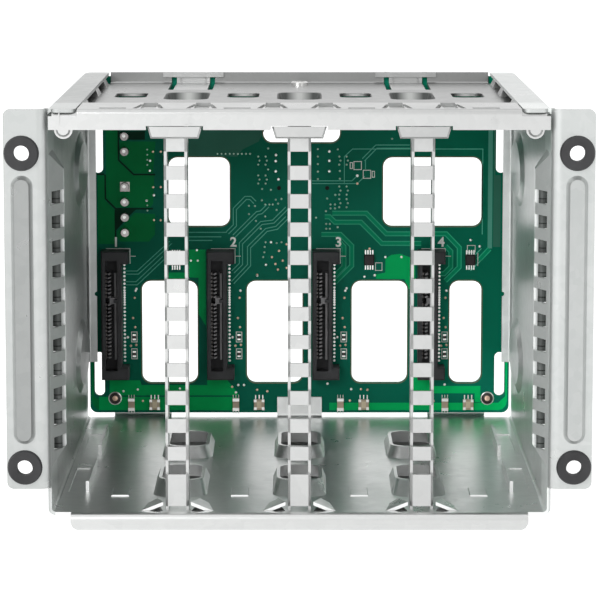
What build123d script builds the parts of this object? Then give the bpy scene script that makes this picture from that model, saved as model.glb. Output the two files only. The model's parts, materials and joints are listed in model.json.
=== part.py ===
from build123d import *
import math
import os

os.makedirs("parts", exist_ok=True)

# Four-bay hot swap drive cage. Millimetres, +Z up, bays open towards -Y.
# Origin: centre of the footprint, at the foot of the front lip.

# Bays and sheet
bay_pitch = 35.0
bay_count = 4
wall_allowance = 0.7
sheet = 1.0
bend = 1.5
fit = 0.3
cage_depth = 160.0
overall_height = 120.2

# Floor
lip_drop = 4.8
lip_inset = 5.5
lip_corner = 2.5
relief_depth = 2.5
floor_rear_gap = 1.0
hook_width = 19.1
hook_height = 4.2
upstand_width = 14.9
upstand_height = 6.7

# Side walls
ear_width = 11.4
ear_bottom = 12.0
ear_bend = 2.5
ear_corner = 2.0
bead_width = 6.2
bead_height = 1.5
bead_bottom = 25.0
bead_top_drop = 18.7
bead_taper = 35.0
strip_width = 8.9
strip_corner = 2.0
rear_flange_width = 4.2
rear_flange_bottom = 23.4
rear_flange_top_drop = 4.8
rear_notch_radius = 0.8
rear_notch_z = 46.3
bulge_height = 3.6
bulge_bottom = 17.6
bulge_top_drop = 12.9
bulge_front = 3.6
bulge_rear = 18.0
crest_front = 12.0
crest_rear = 15.0
crest_end_run = 5.0
slit_top_margin = 10.0
slit_pitch = 7.06
slit_height = 3.8
slit_front = 5.2
slit_rear = 12.6
backing_rear = 14.0
slit_lowest = 24.0
oval_length = 50.0
oval_width = 23.5
oval_depth = 1.2
oval_taper = 3.0
oval_rear_margin = 6.0
oval_low = 30.3
oval_high_drop = 29.2

# Grommets in the ears
grommet_offset = 6.3
grommet_low = 18.25
grommet_high_drop = 12.4
grommet_radius = 5.0
grommet_rear_radius = 4.2
grommet_bore = 2.25
grommet_neck = 3.5
grommet_flange = 1.2
grommet_edge = 0.4
neck_clearance = 0.1

# Top plate
bar_height = 5.85
plate_bend = 1.0
raised_depth = 25.0
step_run = 2.4
ceiling_drop = 3.6
plate_rear_gap = 3.0
strip_gap = 0.5
notch_width = 16.0
notch_height = 1.1
lug_radius = 2.6
lug_inset = 4.5
lug_boss_radius = 2.1
lug_boss_height = 0.7
lug_boss_taper = 40.0
pad_insets = (17.0, 56.0, 108.0)
pad_length = 14.0
pad_width = 7.0
pad_taper = 1.2
bar_hole_width = 7.6
bar_hole_front = 2.4
bar_hole_rear = 5.6
ceiling_hole_width = 10.0
ceiling_hole_length = 19.0
ceiling_hole_radius = 3.0
ceiling_hole_inset = 56.5

# Lead-in flaps beside each post, in the floor and in the raised strip
flap_outer_front = 10.4
flap_outer_rear = 8.8
flap_inner_front = 4.0
flap_inner_rear = 6.2
flap_rise_front = 2.6
flap_rise_rear = 1.4
flap_length = 12.0
floor_flap_front = 4.0

# Windows of the raised strip, with a slanted cut on each side
guide_offset = 7.5
guide_width = 4.2
guide_front = 3.0
guide_rear_margin = 1.0
guide_cut_spread = 4.4
guide_cut_width = 1.3
guide_cut_length = 15.0

# Open skids in line with the posts, and half skids beside the walls
skid_base_width = 15.8
skid_rim_width = 13.5
skid_height = 3.2
skid_corner = 5.2
front_skid_place = 24.0
front_skid_length = 38.0
front_skid_slopes = (10.0, 3.0)
rear_skid_inset = 41.0
rear_skid_length = 35.0
rear_skid_slopes = (4.0, 3.4)
half_skid_inset = 2.6
half_skid_width = 6.1
half_skid_length = 37.0
half_skid_front = 32.0
half_skid_rear_inset = 33.0
half_skid_height = 3.2
half_skid_pocket = 0.4
bump_width = 5.3
bump_length = 12.0
bump_height = 0.4
bump_taper = 30.0
bump_place = 31.0

# Divider posts
post_sheet = 0.8
post_width = 6.6
post_front = 5.0
post_depth = 10.0
post_edge = 0.7
rung_pitch = 8.05
rung_top_margin = 4.0
window_height = 4.07
lowest_window = 17.25
web_gap = 1.2
web_cut_depth = 1.7
head_top_width = 15.4
head_bottom_width = 13.4
head_drop = 2.45
head_front = 0.1
head_bevel = 0.5
head_clearance = 0.2

# Backplane board
board_thickness = 1.6
board_side_gap = 0.6
board_bottom = 6.1
board_corner = 2.4
window_corner = 3.0
low_window_bottom = 16.3
low_window_top = 50.6
low_window_width = 18.5
low_window_offset = 17.9
end_window_width = 10.6
end_window_offset = 11.6
high_window_drop = 28.3
high_window_height = 22.9
left_high_window_offset = 1.65
left_high_window_width = 20.3
right_high_window_offset = 9.15
right_high_window_width = 32.7
top_window_x = 0.7
top_window_width = 25.4
top_window_drop = 9.2
top_window_height = 14.1
edge_slot_inset = 3.2
edge_slot_width = 3.4
low_edge_slot = 11.8
low_edge_slot_length = 14.8
high_edge_slot_drop = 17.2
high_edge_slot_length = 16.3

# Drive connectors
connector_offset = -8.7
connector_bottom = 18.3
connector_length = 43.0
connector_depth = 8.0
body_width = 6.7
end_block_width = 9.0
end_block_height = 4.2
cavity_width = 3.9
cavity_length = 37.0
cavity_depth = 6.0
key_width = 1.2
key_height = 1.0
connector_edge = 0.4
contact_pitch = 1.27
contact_width = 0.8
contact_thickness = 0.4
contact_reach = 4.6
signal_contacts = 7
power_contacts = 15
contact_key_gap = 2.6

# Rear power connectors
header_pitch = 5.08
header_pins = 4
header_offset = 3.2
header_low_share = 0.164
header_mid_share = 0.37
header_width = 10.0
header_end_margin = 3.4
header_depth = 13.0
header_wall = 1.4
header_floor = 2.4
header_corner = 1.6
pin_size = 1.6
pin_standout = 0.8
pin_recess = 2.0

# Rear data connector
data_x = 0.7
data_drop = 35.2
data_width = 21.0
data_height = 9.0
data_depth = 11.0
data_shell = 0.5
data_slot_width = 16.0
data_slot_height = 2.2
data_slot_depth = 8.0
data_contact_count = 12
data_contact_pitch = 1.2
data_contact_width = 0.4
data_contact_thickness = 0.3
data_contact_reach = 6.0

# Small parts on the board
lamp_z = 8.9
bay_lamp_offset = 4.0
bay_lamp_size = 3.4
bay_lamp_thickness = 1.1
side_lamp_offset = -3.8
side_lamp_width = 2.1
side_lamp_height = 4.2
side_lamp_thickness = 1.0
chip_z = 57.7
chip_offsets = ((0, 20.1), (2, 14.4), (3, 13.1))  # connector from the left, and how far right of it
chip_width = 3.3
chip_height = 3.5
chip_thickness = 1.5
chip_edge = 0.3
pack_offset = 6.0
end_pack_offset = 4.7
pack_heights = (26.0, 31.7)
pack_width = 1.0
pack_height = 1.8
pack_thickness = 0.5

# Board latches: spring fingers cut free in the top plate
latch_length = 32.0
latch_width = 10.9
latch_slit = 1.7
latch_bend = 0.7
latch_lip_width = 20.0
latch_lip_gap = 0.4
latch_root_gap = 0.2
latch_board_gap = 0.4
latch_hook = 1.2

# Plate rivet
rivet_inset = 14.0
rivet_head_radius = 2.8
rivet_head_height = 1.5
rivet_bore_radius = 1.3
rivet_bore_depth = 1.1
rivet_edge = 0.4
rivet_shank_radius = 1.5
rivet_tail = 0.8

# Places worked out from the sizes above
inner_half_width = bay_count * bay_pitch / 2 + wall_allowance
lip_half_width = inner_half_width - lip_inset
wall_mid_x = inner_half_width + sheet / 2
floor_half_width = wall_mid_x - bend
floor_mid = lip_drop - sheet / 2
strip_mid = overall_height - sheet / 2
strip_inner_x = inner_half_width + sheet - strip_width
ceiling_top = overall_height - ceiling_drop
ceiling_mid = ceiling_top - sheet / 2
plate_half_width = strip_inner_x - strip_gap
ear_tip_x = inner_half_width + sheet + ear_width
grommet_x = inner_half_width + sheet + grommet_offset
grommet_high = overall_height - grommet_high_drop
bar_bottom = overall_height - bar_height
head_bottom = bar_bottom - head_drop
bulge_top = overall_height - bulge_top_drop
slit_count = 1 + int((bulge_top - slit_top_margin - slit_lowest) / slit_pitch)
rung_count = 1 + int((head_bottom - rung_top_margin - lowest_window) / rung_pitch)
half_skid_outer = inner_half_width - half_skid_inset
half_skid_inner = half_skid_outer - half_skid_width
latch_root = cage_depth - latch_length
latch_x = bay_pitch * (bay_count - 2) / 2
rivet_place = cage_depth - rivet_inset
oval_place = cage_depth - oval_rear_margin - oval_length / 2
head_top = bar_bottom + notch_height - head_clearance
rear_skid_place = cage_depth - rear_skid_inset - rear_skid_length
ceiling_skid_place = raised_depth + step_run + 2 * plate_bend
half_skid_fronts = (half_skid_front, cage_depth - half_skid_rear_inset - half_skid_length)
board_top = overall_height - sheet - latch_board_gap
board_half_width = inner_half_width - board_side_gap
overall_depth = bead_height + cage_depth + board_thickness + header_depth
front_y = bead_height - overall_depth / 2
board_front_y = front_y + cage_depth
board_back_y = board_front_y + board_thickness
bay_centres = [(i - (bay_count - 1) / 2) * bay_pitch for i in range(bay_count)]
divider_places = [(i - (bay_count - 2) / 2) * bay_pitch for i in range(bay_count - 1)]
connector_places = [centre + connector_offset for centre in bay_centres]
connector_mid_z = connector_bottom + connector_length / 2
body_shift = (body_width - end_block_width) / 2
header_x = connector_places[0] + header_offset
pin_opening = pin_size + 2 * neck_clearance
header_length = (header_pins - 1) * header_pitch + 2 * header_end_margin
header_room = board_top - connector_bottom - connector_length - 2 * header_length
header_low_pin = connector_bottom + connector_length + header_room * header_low_share + header_end_margin
header_high_pin = header_low_pin + header_length + header_room * header_mid_share
header_pin_rows = (header_low_pin, header_high_pin)
pin_offsets = [i * header_pitch for i in range(header_pins)]
data_z = overall_height - data_drop


def at_depth(depth):
    return front_y + depth


def front_plane(depth):
    # Sketch plane facing the bays' open side, its own x along X and y along Z
    return Plane.XZ.offset(-at_depth(depth))


def save(part, name):
    part.label = name
    export_step(part, f"parts/{name}.step")


def folded(plane, points, radius, width, thickness=sheet):
    # A strip of sheet whose middle line follows the points, run across the plane by width
    with BuildSketch(plane) as section:
        with BuildLine():
            FilletPolyline(*points, radius=radius)
        trace(line_width=thickness)
    extrude(section.sketch, amount=width)


def spanned_rectangle(first, second, low, high, corner=0.0):
    with Locations(((first + second) / 2, (low + high) / 2)):
        if corner:
            RectangleRounded(abs(second - first), high - low, corner)
        else:
            Rectangle(abs(second - first), high - low)


def skid(x, front, length, slopes, surface, rise, soften):
    # Collar drawn up out of the sheet, open through its rim; rise is negative under a ceiling,
    # and soften rounds or cuts its corners
    hidden_face = surface - sheet if rise > 0 else surface + sheet
    rear = front + length
    for inset, base_z, mode in ((0, surface, Mode.ADD), (sheet, hidden_face, Mode.SUBTRACT)):
        base_half = skid_base_width / 2 - inset
        rim_half = skid_rim_width / 2 - inset
        with BuildSketch(Plane.XY.offset(base_z)) as base:
            spanned_rectangle(x - base_half, x + base_half, at_depth(front + inset), at_depth(rear - inset))
            soften(base.vertices(), skid_corner - inset)
        with BuildSketch(Plane.XY.offset(surface + rise)) as rim:
            spanned_rectangle(
                x - rim_half,
                x + rim_half,
                at_depth(front + slopes[0] + inset),
                at_depth(rear - slopes[1] - inset),
            )
            soften(rim.vertices(), skid_corner - inset)
        loft([base.sketch, rim.sketch], ruled=True, mode=mode)


def flap_section(x, side, outer, inner, surface, rise):
    # Cut across one flap: flat in the sheet at its outer root, lifted at its inner edge
    Polygon(
        (x + side * outer, surface),
        (x + side * inner, surface + rise),
        (x + side * inner, surface + rise - sheet),
        (x + side * outer, surface - sheet),
        align=None,
    )


def lead_in_flaps(x, front, surface):
    # A pair of lanced flaps that lift towards the post between them, each over its own window
    rear = front + flap_length
    for side in (-1, 1):
        with BuildSketch(Plane.XY.offset(surface - sheet)) as window:
            Polygon(
                (x + side * flap_outer_front, at_depth(front)),
                (x + side * flap_inner_front, at_depth(front)),
                (x + side * flap_inner_rear, at_depth(rear)),
                (x + side * flap_outer_rear, at_depth(rear)),
                align=None,
            )
        extrude(window.sketch, amount=sheet, mode=Mode.SUBTRACT)
        with BuildSketch(front_plane(front + fit)) as front_cut:
            flap_section(x, side, flap_outer_front, flap_inner_front, surface, flap_rise_front)
        with BuildSketch(front_plane(rear - fit)) as rear_cut:
            flap_section(x, side, flap_outer_rear, flap_inner_rear, surface, flap_rise_rear)
        loft([front_cut.sketch, rear_cut.sketch])


def guide_window(x):
    # Long window in the raised strip; the slanted cuts run into its sides
    half = guide_width / 2
    cut_front = at_depth(guide_front)
    cut_rear = at_depth(guide_front + guide_cut_length)
    with BuildSketch(Plane.XY.offset(overall_height - sheet)) as window:
        spanned_rectangle(x - half, x + half, cut_front, at_depth(raised_depth - guide_rear_margin))
        for side in (-1, 1):
            Polygon(
                (x + side * guide_cut_spread, cut_front),
                (x + side * (guide_cut_spread - guide_cut_width), cut_front),
                (x + side * (half - guide_cut_width / 2), cut_rear),
                (x + side * (half + guide_cut_width / 2), cut_rear),
                align=None,
            )
    extrude(window.sketch, amount=sheet, mode=Mode.SUBTRACT)


# Floor: one sheet with the front lip folded down
with BuildPart() as floor_pan:
    folded(
        Plane.YZ.offset(-lip_half_width),
        [
            (at_depth(sheet / 2), 0),
            (at_depth(sheet / 2), floor_mid),
            (board_front_y - floor_rear_gap, floor_mid),
        ],
        bend,
        2 * lip_half_width,
    )
    fillet(floor_pan.edges().filter_by(Axis.Y).group_by(Axis.Z)[0], radius=lip_corner)
    with BuildSketch(Plane.XY.offset(lip_drop - sheet)):
        spanned_rectangle(
            -floor_half_width, floor_half_width, at_depth(relief_depth), board_front_y - floor_rear_gap
        )
    extrude(amount=sheet)
    # Rear hooks pass under the board and turn up behind it
    hook_mid_y = board_back_y + fit + sheet / 2
    for side in (-1, 1):
        hook_x = side * (bay_centres[-1] - hook_width / 2)
        folded(
            Plane.YZ.offset(hook_x if side > 0 else hook_x - hook_width),
            [
                (board_front_y - floor_rear_gap - sheet, floor_mid),
                (hook_mid_y, floor_mid),
                (hook_mid_y, lip_drop + hook_height),
            ],
            bend,
            hook_width,
        )
    # Centre tab stands in front of the board
    folded(
        Plane.YZ.offset(-upstand_width / 2),
        [
            (board_front_y - floor_rear_gap - 2 * bend, floor_mid),
            (board_front_y - sheet / 2, floor_mid),
            (board_front_y - sheet / 2, lip_drop + upstand_height),
        ],
        bend,
        upstand_width,
    )
    for x in divider_places:
        skid(x, front_skid_place, front_skid_length, front_skid_slopes, lip_drop, skid_height, fillet)
        skid(x, rear_skid_place, rear_skid_length, rear_skid_slopes, lip_drop, skid_height, fillet)
        lead_in_flaps(x, floor_flap_front, lip_drop)
    # Half skids beside the walls: a pressed pocket with its inner edge turned up
    for side in (-1, 1):
        for front in half_skid_fronts:
            rear = front + half_skid_length
            with BuildSketch(Plane.XY.offset(lip_drop)):
                spanned_rectangle(
                    side * half_skid_inner, side * half_skid_outer, at_depth(front), at_depth(rear)
                )
            extrude(amount=-half_skid_pocket, mode=Mode.SUBTRACT)
            with BuildSketch(Plane.XY.offset(lip_drop - sheet)):
                spanned_rectangle(
                    side * half_skid_inner,
                    side * (half_skid_inner + sheet),
                    at_depth(front),
                    at_depth(rear),
                )
            extrude(amount=sheet + half_skid_height)
    # Low detent under the nose of each drive carrier
    for x in bay_centres:
        with BuildSketch(Plane.XY.offset(lip_drop)):
            with Locations((x, at_depth(bump_place))):
                Rectangle(bump_width, bump_length)
        extrude(amount=bump_height, taper=bump_taper)

save(floor_pan.part, "floor_pan")


# Side walls: ear, wall, top strip and rear flange of one folded sheet
def side_wall(side):
    wall_x = side * wall_mid_x
    wall_front = at_depth(sheet / 2 + ear_bend)
    wall_rear = board_front_y - sheet / 2 - bend
    with BuildPart() as wall:
        folded(
            Plane.XZ.offset(-wall_front),
            [
                (side * strip_inner_x, strip_mid),
                (wall_x, strip_mid),
                (wall_x, floor_mid),
                (side * floor_half_width, floor_mid),
            ],
            bend * 0.999,
            wall_front - wall_rear,
        )
        with BuildSketch(Plane.XY.offset(overall_height - sheet)):
            spanned_rectangle(
                side * strip_inner_x, side * floor_half_width, at_depth(0), board_front_y, strip_corner
            )
        extrude(amount=sheet)
        # Ear, folded outward
        folded(
            Plane.XY.offset(ear_bottom),
            [
                (side * ear_tip_x, at_depth(sheet / 2)),
                (wall_x, at_depth(sheet / 2)),
                (wall_x, wall_front + sheet),
            ],
            ear_bend,
            overall_height - ear_bottom,
        )
        ear_edges = wall.edges().filter_by(Axis.Y).filter_by(
            lambda edge: abs(edge.center().X - side * ear_tip_x) < sheet
        )
        fillet(ear_edges, radius=ear_corner)
        # Rear flange, folded inward against the board
        folded(
            Plane.XY.offset(rear_flange_bottom),
            [
                (side * (inner_half_width + sheet - rear_flange_width), board_front_y - sheet / 2),
                (wall_x, board_front_y - sheet / 2),
                (wall_x, wall_rear - sheet),
            ],
            bend,
            overall_height - rear_flange_top_drop - rear_flange_bottom,
        )
        with BuildSketch(front_plane(cage_depth - sheet)):
            with Locations((side * (inner_half_width + sheet - rear_flange_width), rear_notch_z)):
                Circle(rear_notch_radius)
        extrude(amount=-sheet, mode=Mode.SUBTRACT)
        # Raised bead along the ear, hollow behind
        bead_length = overall_height - bead_top_drop - bead_bottom
        bead_mid = bead_bottom + bead_length / 2
        with BuildSketch(front_plane(0)):
            with Locations((side * grommet_x, bead_mid)):
                SlotOverall(bead_length, bead_width, rotation=90)
        extrude(amount=bead_height, taper=bead_taper)
        with BuildSketch(front_plane(sheet)):
            with Locations((side * grommet_x, bead_mid)):
                SlotOverall(bead_length - sheet, bead_width - sheet, rotation=90)
        extrude(amount=bead_height, taper=bead_taper, mode=Mode.SUBTRACT)
        # Grommet holes
        with BuildSketch(front_plane(0)):
            with Locations(
                (side * grommet_x, grommet_low), (side * grommet_x, grommet_high)
            ):
                Circle(grommet_neck + neck_clearance)
        extrude(amount=-sheet, mode=Mode.SUBTRACT)
        # Bulge that takes the place of half a post: solid first, then hollowed from outside
        for shift, mode in ((0, Mode.ADD), (sheet, Mode.SUBTRACT)):
            with BuildSketch(Plane.YZ.offset(side * (inner_half_width + shift))):
                spanned_rectangle(at_depth(bulge_front), at_depth(bulge_rear), bulge_bottom, bulge_top)
            with BuildSketch(Plane.YZ.offset(side * (inner_half_width + shift - bulge_height))):
                spanned_rectangle(
                    at_depth(crest_front),
                    at_depth(crest_rear),
                    bulge_bottom + crest_end_run,
                    bulge_top - crest_end_run,
                )
            loft(ruled=True, mode=mode)
        slit_mid = slit_lowest + (slit_count - 1) * slit_pitch / 2
        with BuildSketch(Plane.YZ.offset(side * (inner_half_width - bulge_height))):
            with Locations((at_depth((slit_front + slit_rear) / 2), slit_mid)):
                with GridLocations(0, slit_pitch, 1, slit_count):
                    Rectangle(slit_rear - slit_front, slit_height)
        extrude(amount=side * (bulge_height + 2 * sheet), mode=Mode.SUBTRACT)
        # Backing strip that closes the outside of the bulge behind the slits
        with BuildSketch(Plane.YZ.offset(side * inner_half_width)):
            spanned_rectangle(at_depth(bulge_front), at_depth(backing_rear), bulge_bottom, bulge_top)
        extrude(amount=side * sheet)
        # Shallow ovals pressed inward towards the rear
        for oval_z in (oval_low, overall_height - oval_high_drop):
            for shift, mode in ((0, Mode.ADD), (sheet, Mode.SUBTRACT)):
                with BuildSketch(Plane.YZ.offset(side * (inner_half_width + shift))):
                    with Locations((at_depth(oval_place), oval_z)):
                        Ellipse(oval_length / 2, oval_width / 2)
                with BuildSketch(Plane.YZ.offset(side * (inner_half_width + shift - oval_depth))):
                    with Locations((at_depth(oval_place), oval_z)):
                        Ellipse(oval_length / 2 - oval_taper, oval_width / 2 - oval_taper)
                loft(ruled=True, mode=mode)
    return wall.part


save(side_wall(-1), "left_side_wall")
save(side_wall(1), "right_side_wall")


# Top plate: front bar, raised strip, lower ceiling and rear flange of one folded sheet
with BuildPart() as top_plate:
    folded(
        Plane.YZ.offset(-plate_half_width),
        [
            (at_depth(sheet / 2), bar_bottom),
            (at_depth(sheet / 2), strip_mid),
            (at_depth(raised_depth), strip_mid),
            (at_depth(raised_depth + step_run), ceiling_mid),
            (board_front_y - sheet / 2, ceiling_mid),
            (board_front_y - sheet / 2, overall_height),
        ],
        plate_bend,
        2 * plate_half_width,
    )
    # Margins one sheet lower, running under the top strips of the walls
    margin_edge = floor_half_width - fit
    margin_width = margin_edge - plate_half_width + sheet
    for side in (-1, 1):
        folded(
            Plane.YZ.offset(side * (plate_half_width - sheet)),
            [
                (at_depth(sheet / 2), bar_bottom),
                (at_depth(sheet / 2), strip_mid - sheet),
                (at_depth(raised_depth), strip_mid - sheet),
                (at_depth(raised_depth + step_run), ceiling_mid),
                (board_front_y - plate_rear_gap, ceiling_mid),
            ],
            plate_bend,
            side * margin_width,
        )
        # Pads pressed up to the strips, where the sheets are welded
        pad_x = side * (margin_edge - pad_width / 2)
        for shift, mode in ((0, Mode.ADD), (-sheet, Mode.SUBTRACT)):
            for inset in pad_insets:
                with BuildSketch(Plane.XY.offset(ceiling_top + shift)):
                    with Locations((pad_x, board_front_y - inset)):
                        Rectangle(pad_width, pad_length)
                with BuildSketch(Plane.XY.offset(overall_height - sheet + shift)):
                    with Locations((pad_x, board_front_y - inset)):
                        Rectangle(pad_width - 2 * pad_taper, pad_length - 2 * pad_taper)
                loft(ruled=True, mode=mode)
        # Half-round lug hanging behind the end of the bar
        with BuildSketch(front_plane(sheet)):
            with Locations((side * (inner_half_width - lug_inset), bar_bottom)):
                Circle(lug_radius)
        extrude(amount=-sheet)
        with BuildSketch(front_plane(sheet)):
            with Locations((side * (inner_half_width - lug_inset), bar_bottom)):
                Circle(lug_boss_radius)
        extrude(amount=lug_boss_height, taper=lug_boss_taper)
    # The bar itself reaches out to the walls
    with BuildSketch(front_plane(0)):
        spanned_rectangle(fit - inner_half_width, inner_half_width - fit, bar_bottom, strip_mid - bend)
    extrude(amount=-sheet)
    # Notches in the lower edge of the bar for the heads of the posts
    with BuildSketch(front_plane(0)):
        for x in divider_places:
            spanned_rectangle(x - notch_width / 2, x + notch_width / 2, bar_bottom, bar_bottom + notch_height)
    extrude(amount=-sheet, mode=Mode.SUBTRACT)
    for x in divider_places:
        ceiling_under = ceiling_top - sheet
        skid(
            x, ceiling_skid_place, front_skid_length, front_skid_slopes, ceiling_under, -skid_height, chamfer
        )
        skid(x, rear_skid_place, rear_skid_length, rear_skid_slopes, ceiling_under, -skid_height, fillet)
        for side in (-1, 1):
            guide_window(x + side * guide_offset)
    for x in bay_centres:
        with BuildSketch(Plane.XY.offset(overall_height - sheet)):
            spanned_rectangle(
                x - bar_hole_width / 2, x + bar_hole_width / 2, at_depth(bar_hole_front), at_depth(bar_hole_rear)
            )
        extrude(amount=sheet, mode=Mode.SUBTRACT)
        with BuildSketch(Plane.XY.offset(ceiling_top - sheet)):
            with Locations((x, board_front_y - ceiling_hole_inset)):
                RectangleRounded(ceiling_hole_width, ceiling_hole_length, ceiling_hole_radius)
        extrude(amount=sheet, mode=Mode.SUBTRACT)
    # Slots that free the two latch fingers, cut on through the rear flange
    slot_half = latch_width / 2 + latch_slit
    with BuildSketch(Plane.XY.offset(ceiling_top - sheet)):
        for side in (-1, 1):
            spanned_rectangle(
                side * latch_x - slot_half, side * latch_x + slot_half, at_depth(latch_root), board_front_y
            )
    extrude(amount=sheet + ceiling_drop, mode=Mode.SUBTRACT)
    with BuildSketch(Plane.XY.offset(ceiling_top - sheet)):
        with Locations((0, at_depth(rivet_place))):
            Circle(rivet_shank_radius + neck_clearance)
    extrude(amount=sheet, mode=Mode.SUBTRACT)

save(top_plate.part, "top_plate")

# Rivet at the rear centre of the top plate
with BuildPart() as plate_rivet:
    with BuildSketch(Plane.XY.offset(ceiling_top)):
        with Locations((0, at_depth(rivet_place))):
            Circle(rivet_head_radius)
    extrude(amount=rivet_head_height)
    chamfer(plate_rivet.faces().sort_by(Axis.Z)[-1].edges(), length=rivet_edge)
    with BuildSketch(Plane.XY.offset(ceiling_top)):
        with Locations((0, at_depth(rivet_place))):
            Circle(rivet_shank_radius)
    extrude(amount=-(sheet + rivet_tail))
    with BuildSketch(Plane.XY.offset(ceiling_top + rivet_head_height)):
        with Locations((0, at_depth(rivet_place))):
            Circle(rivet_bore_radius)
    extrude(amount=-rivet_bore_depth, mode=Mode.SUBTRACT)

save(plate_rivet.part, "plate_rivet")


# Divider posts: U channels pierced like ladders, with a wide head leaning into the bar
def divider_post(x):
    web_back = at_depth(post_front + post_sheet)
    post_rear = at_depth(post_front + post_depth)
    outer = post_width / 2
    inner = outer - post_sheet
    post_top = overall_height - sheet
    window_mid = lowest_window + (rung_count - 1) * rung_pitch / 2
    with BuildPart() as post:
        with BuildSketch(Plane.XY.offset(lip_drop)) as section:
            spanned_rectangle(x - outer, x + outer, at_depth(post_front), post_rear)
            chamfer(section.vertices().group_by(Axis.Y)[0], length=post_edge)
            with Locations((x, (web_back + post_rear) / 2)):
                Rectangle(2 * inner, post_rear - web_back, mode=Mode.SUBTRACT)
        extrude(amount=post_top - lip_drop)
        with BuildSketch(front_plane(post_front)):
            with Locations((x, window_mid)):
                with GridLocations(0, rung_pitch, 1, rung_count):
                    Rectangle(post_width, window_height)
            spanned_rectangle(x - post_width / 2, x + post_width / 2, lip_drop, lip_drop + web_gap)
        extrude(amount=-web_cut_depth, mode=Mode.SUBTRACT)
        # Head: an upright plate in the notch of the bar, with a shelf back to the web
        with BuildSketch(front_plane(head_front)):
            Polygon(
                (x - head_bottom_width / 2, head_bottom),
                (x + head_bottom_width / 2, head_bottom),
                (x + head_top_width / 2, head_top),
                (x - head_top_width / 2, head_top),
                align=None,
            )
        extrude(amount=-post_sheet)
        head_rim = post.faces().sort_by(Axis.Y)[0].edges().sort_by(Axis.Z)[:-1]
        chamfer(head_rim, length=head_bevel)
        with BuildSketch(Plane.XY.offset(head_bottom)):
            spanned_rectangle(x - outer, x + outer, at_depth(head_front + post_sheet), web_back)
        extrude(amount=post_sheet)
    return post.part


for index, x in enumerate(divider_places):
    save(divider_post(x), f"divider_post_{index + 1}")


# Board latches: finger in the ceiling, stem up through the flange, lip and hook over the board
def board_latch(x):
    lip_y = board_front_y + latch_lip_gap
    hook_mid_y = board_back_y + fit + sheet / 2
    hook_bottom = board_top - latch_hook
    with BuildPart() as latch:
        folded(
            Plane.YZ.offset(x - latch_width / 2),
            [
                (at_depth(latch_root + latch_root_gap), ceiling_mid),
                (board_front_y - sheet / 2, ceiling_mid),
                (board_front_y - sheet / 2, strip_mid),
                (hook_mid_y, strip_mid),
                (hook_mid_y, hook_bottom),
            ],
            latch_bend,
            latch_width,
        )
        with BuildSketch(Plane.XY.offset(overall_height - sheet)):
            spanned_rectangle(x - latch_lip_width / 2, x + latch_lip_width / 2, lip_y, hook_mid_y)
        extrude(amount=sheet)
    return latch.part


save(board_latch(-latch_x), "board_latch_left")
save(board_latch(latch_x), "board_latch_right")


# Backplane board with air windows, edge slots and holes for the power pins
def board_windows():
    for place in connector_places[:-1]:
        middle = place + low_window_offset
        yield middle, low_window_width, low_window_bottom, low_window_top
    yield connector_places[-1] + end_window_offset, end_window_width, low_window_bottom, low_window_top
    high_top = overall_height - high_window_drop
    high_bottom = high_top - high_window_height
    yield divider_places[0] + left_high_window_offset, left_high_window_width, high_bottom, high_top
    yield divider_places[-1] + right_high_window_offset, right_high_window_width, high_bottom, high_top
    top = overall_height - top_window_drop
    yield top_window_x, top_window_width, top - top_window_height, top


with BuildPart() as backplane_board:
    with BuildSketch(front_plane(cage_depth)):
        spanned_rectangle(-board_half_width, board_half_width, board_bottom, board_top, board_corner)
    extrude(amount=-board_thickness)
    with BuildSketch(front_plane(cage_depth)):
        for middle, width, low, high in board_windows():
            spanned_rectangle(middle - width / 2, middle + width / 2, low, high, window_corner)
        slot_x = board_half_width - edge_slot_inset
        with Locations(*[(side * slot_x, low_edge_slot + low_edge_slot_length / 2) for side in (-1, 1)]):
            SlotOverall(low_edge_slot_length, edge_slot_width, rotation=90)
        high_slot_mid = overall_height - high_edge_slot_drop - high_edge_slot_length / 2
        with Locations(*[(side * slot_x, high_slot_mid) for side in (-1, 1)]):
            SlotOverall(high_edge_slot_length, edge_slot_width, rotation=90)
        for row in header_pin_rows:
            with Locations(*[(header_x, row + offset) for offset in pin_offsets]):
                Rectangle(pin_opening, pin_opening)
    extrude(amount=-board_thickness, mode=Mode.SUBTRACT)

save(backplane_board.part, "backplane_board")


# Drive connectors: housing with a keyed cavity, wider blocks at both ends
def drive_connector(x):
    body_x = x + body_shift
    cavity_mid_x = body_x
    with BuildPart() as connector:
        with BuildSketch(front_plane(cage_depth)):
            with Locations((body_x, connector_mid_z)):
                Rectangle(body_width, connector_length)
            for side in (-1, 1):
                with Locations((x, connector_mid_z + side * (connector_length - end_block_height) / 2)):
                    Rectangle(end_block_width, end_block_height)
        extrude(amount=connector_depth)
        chamfer(connector.faces().sort_by(Axis.Y)[0].outer_wire().edges(), length=connector_edge)
        with BuildSketch(front_plane(cage_depth - connector_depth)):
            with Locations((cavity_mid_x, connector_mid_z)):
                Rectangle(cavity_width, cavity_length)
            # Key rib left standing between the signal and the power contacts
            with Locations((cavity_mid_x + cavity_width / 2 - key_width / 2, key_z())):
                Rectangle(key_width, key_height, mode=Mode.SUBTRACT)
        extrude(amount=-cavity_depth, mode=Mode.SUBTRACT)
    return connector.part


def contact_heights():
    # Signal contacts at the top, then the key gap, then the power contacts
    spacing_total = (signal_contacts + power_contacts - 2) * contact_pitch + contact_key_gap
    top = connector_mid_z + spacing_total / 2
    heights = [top - i * contact_pitch for i in range(signal_contacts)]
    power_top = heights[-1] - contact_key_gap
    return heights + [power_top - i * contact_pitch for i in range(power_contacts)]


def key_z():
    heights = contact_heights()
    return (heights[signal_contacts - 1] + heights[signal_contacts]) / 2


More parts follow.
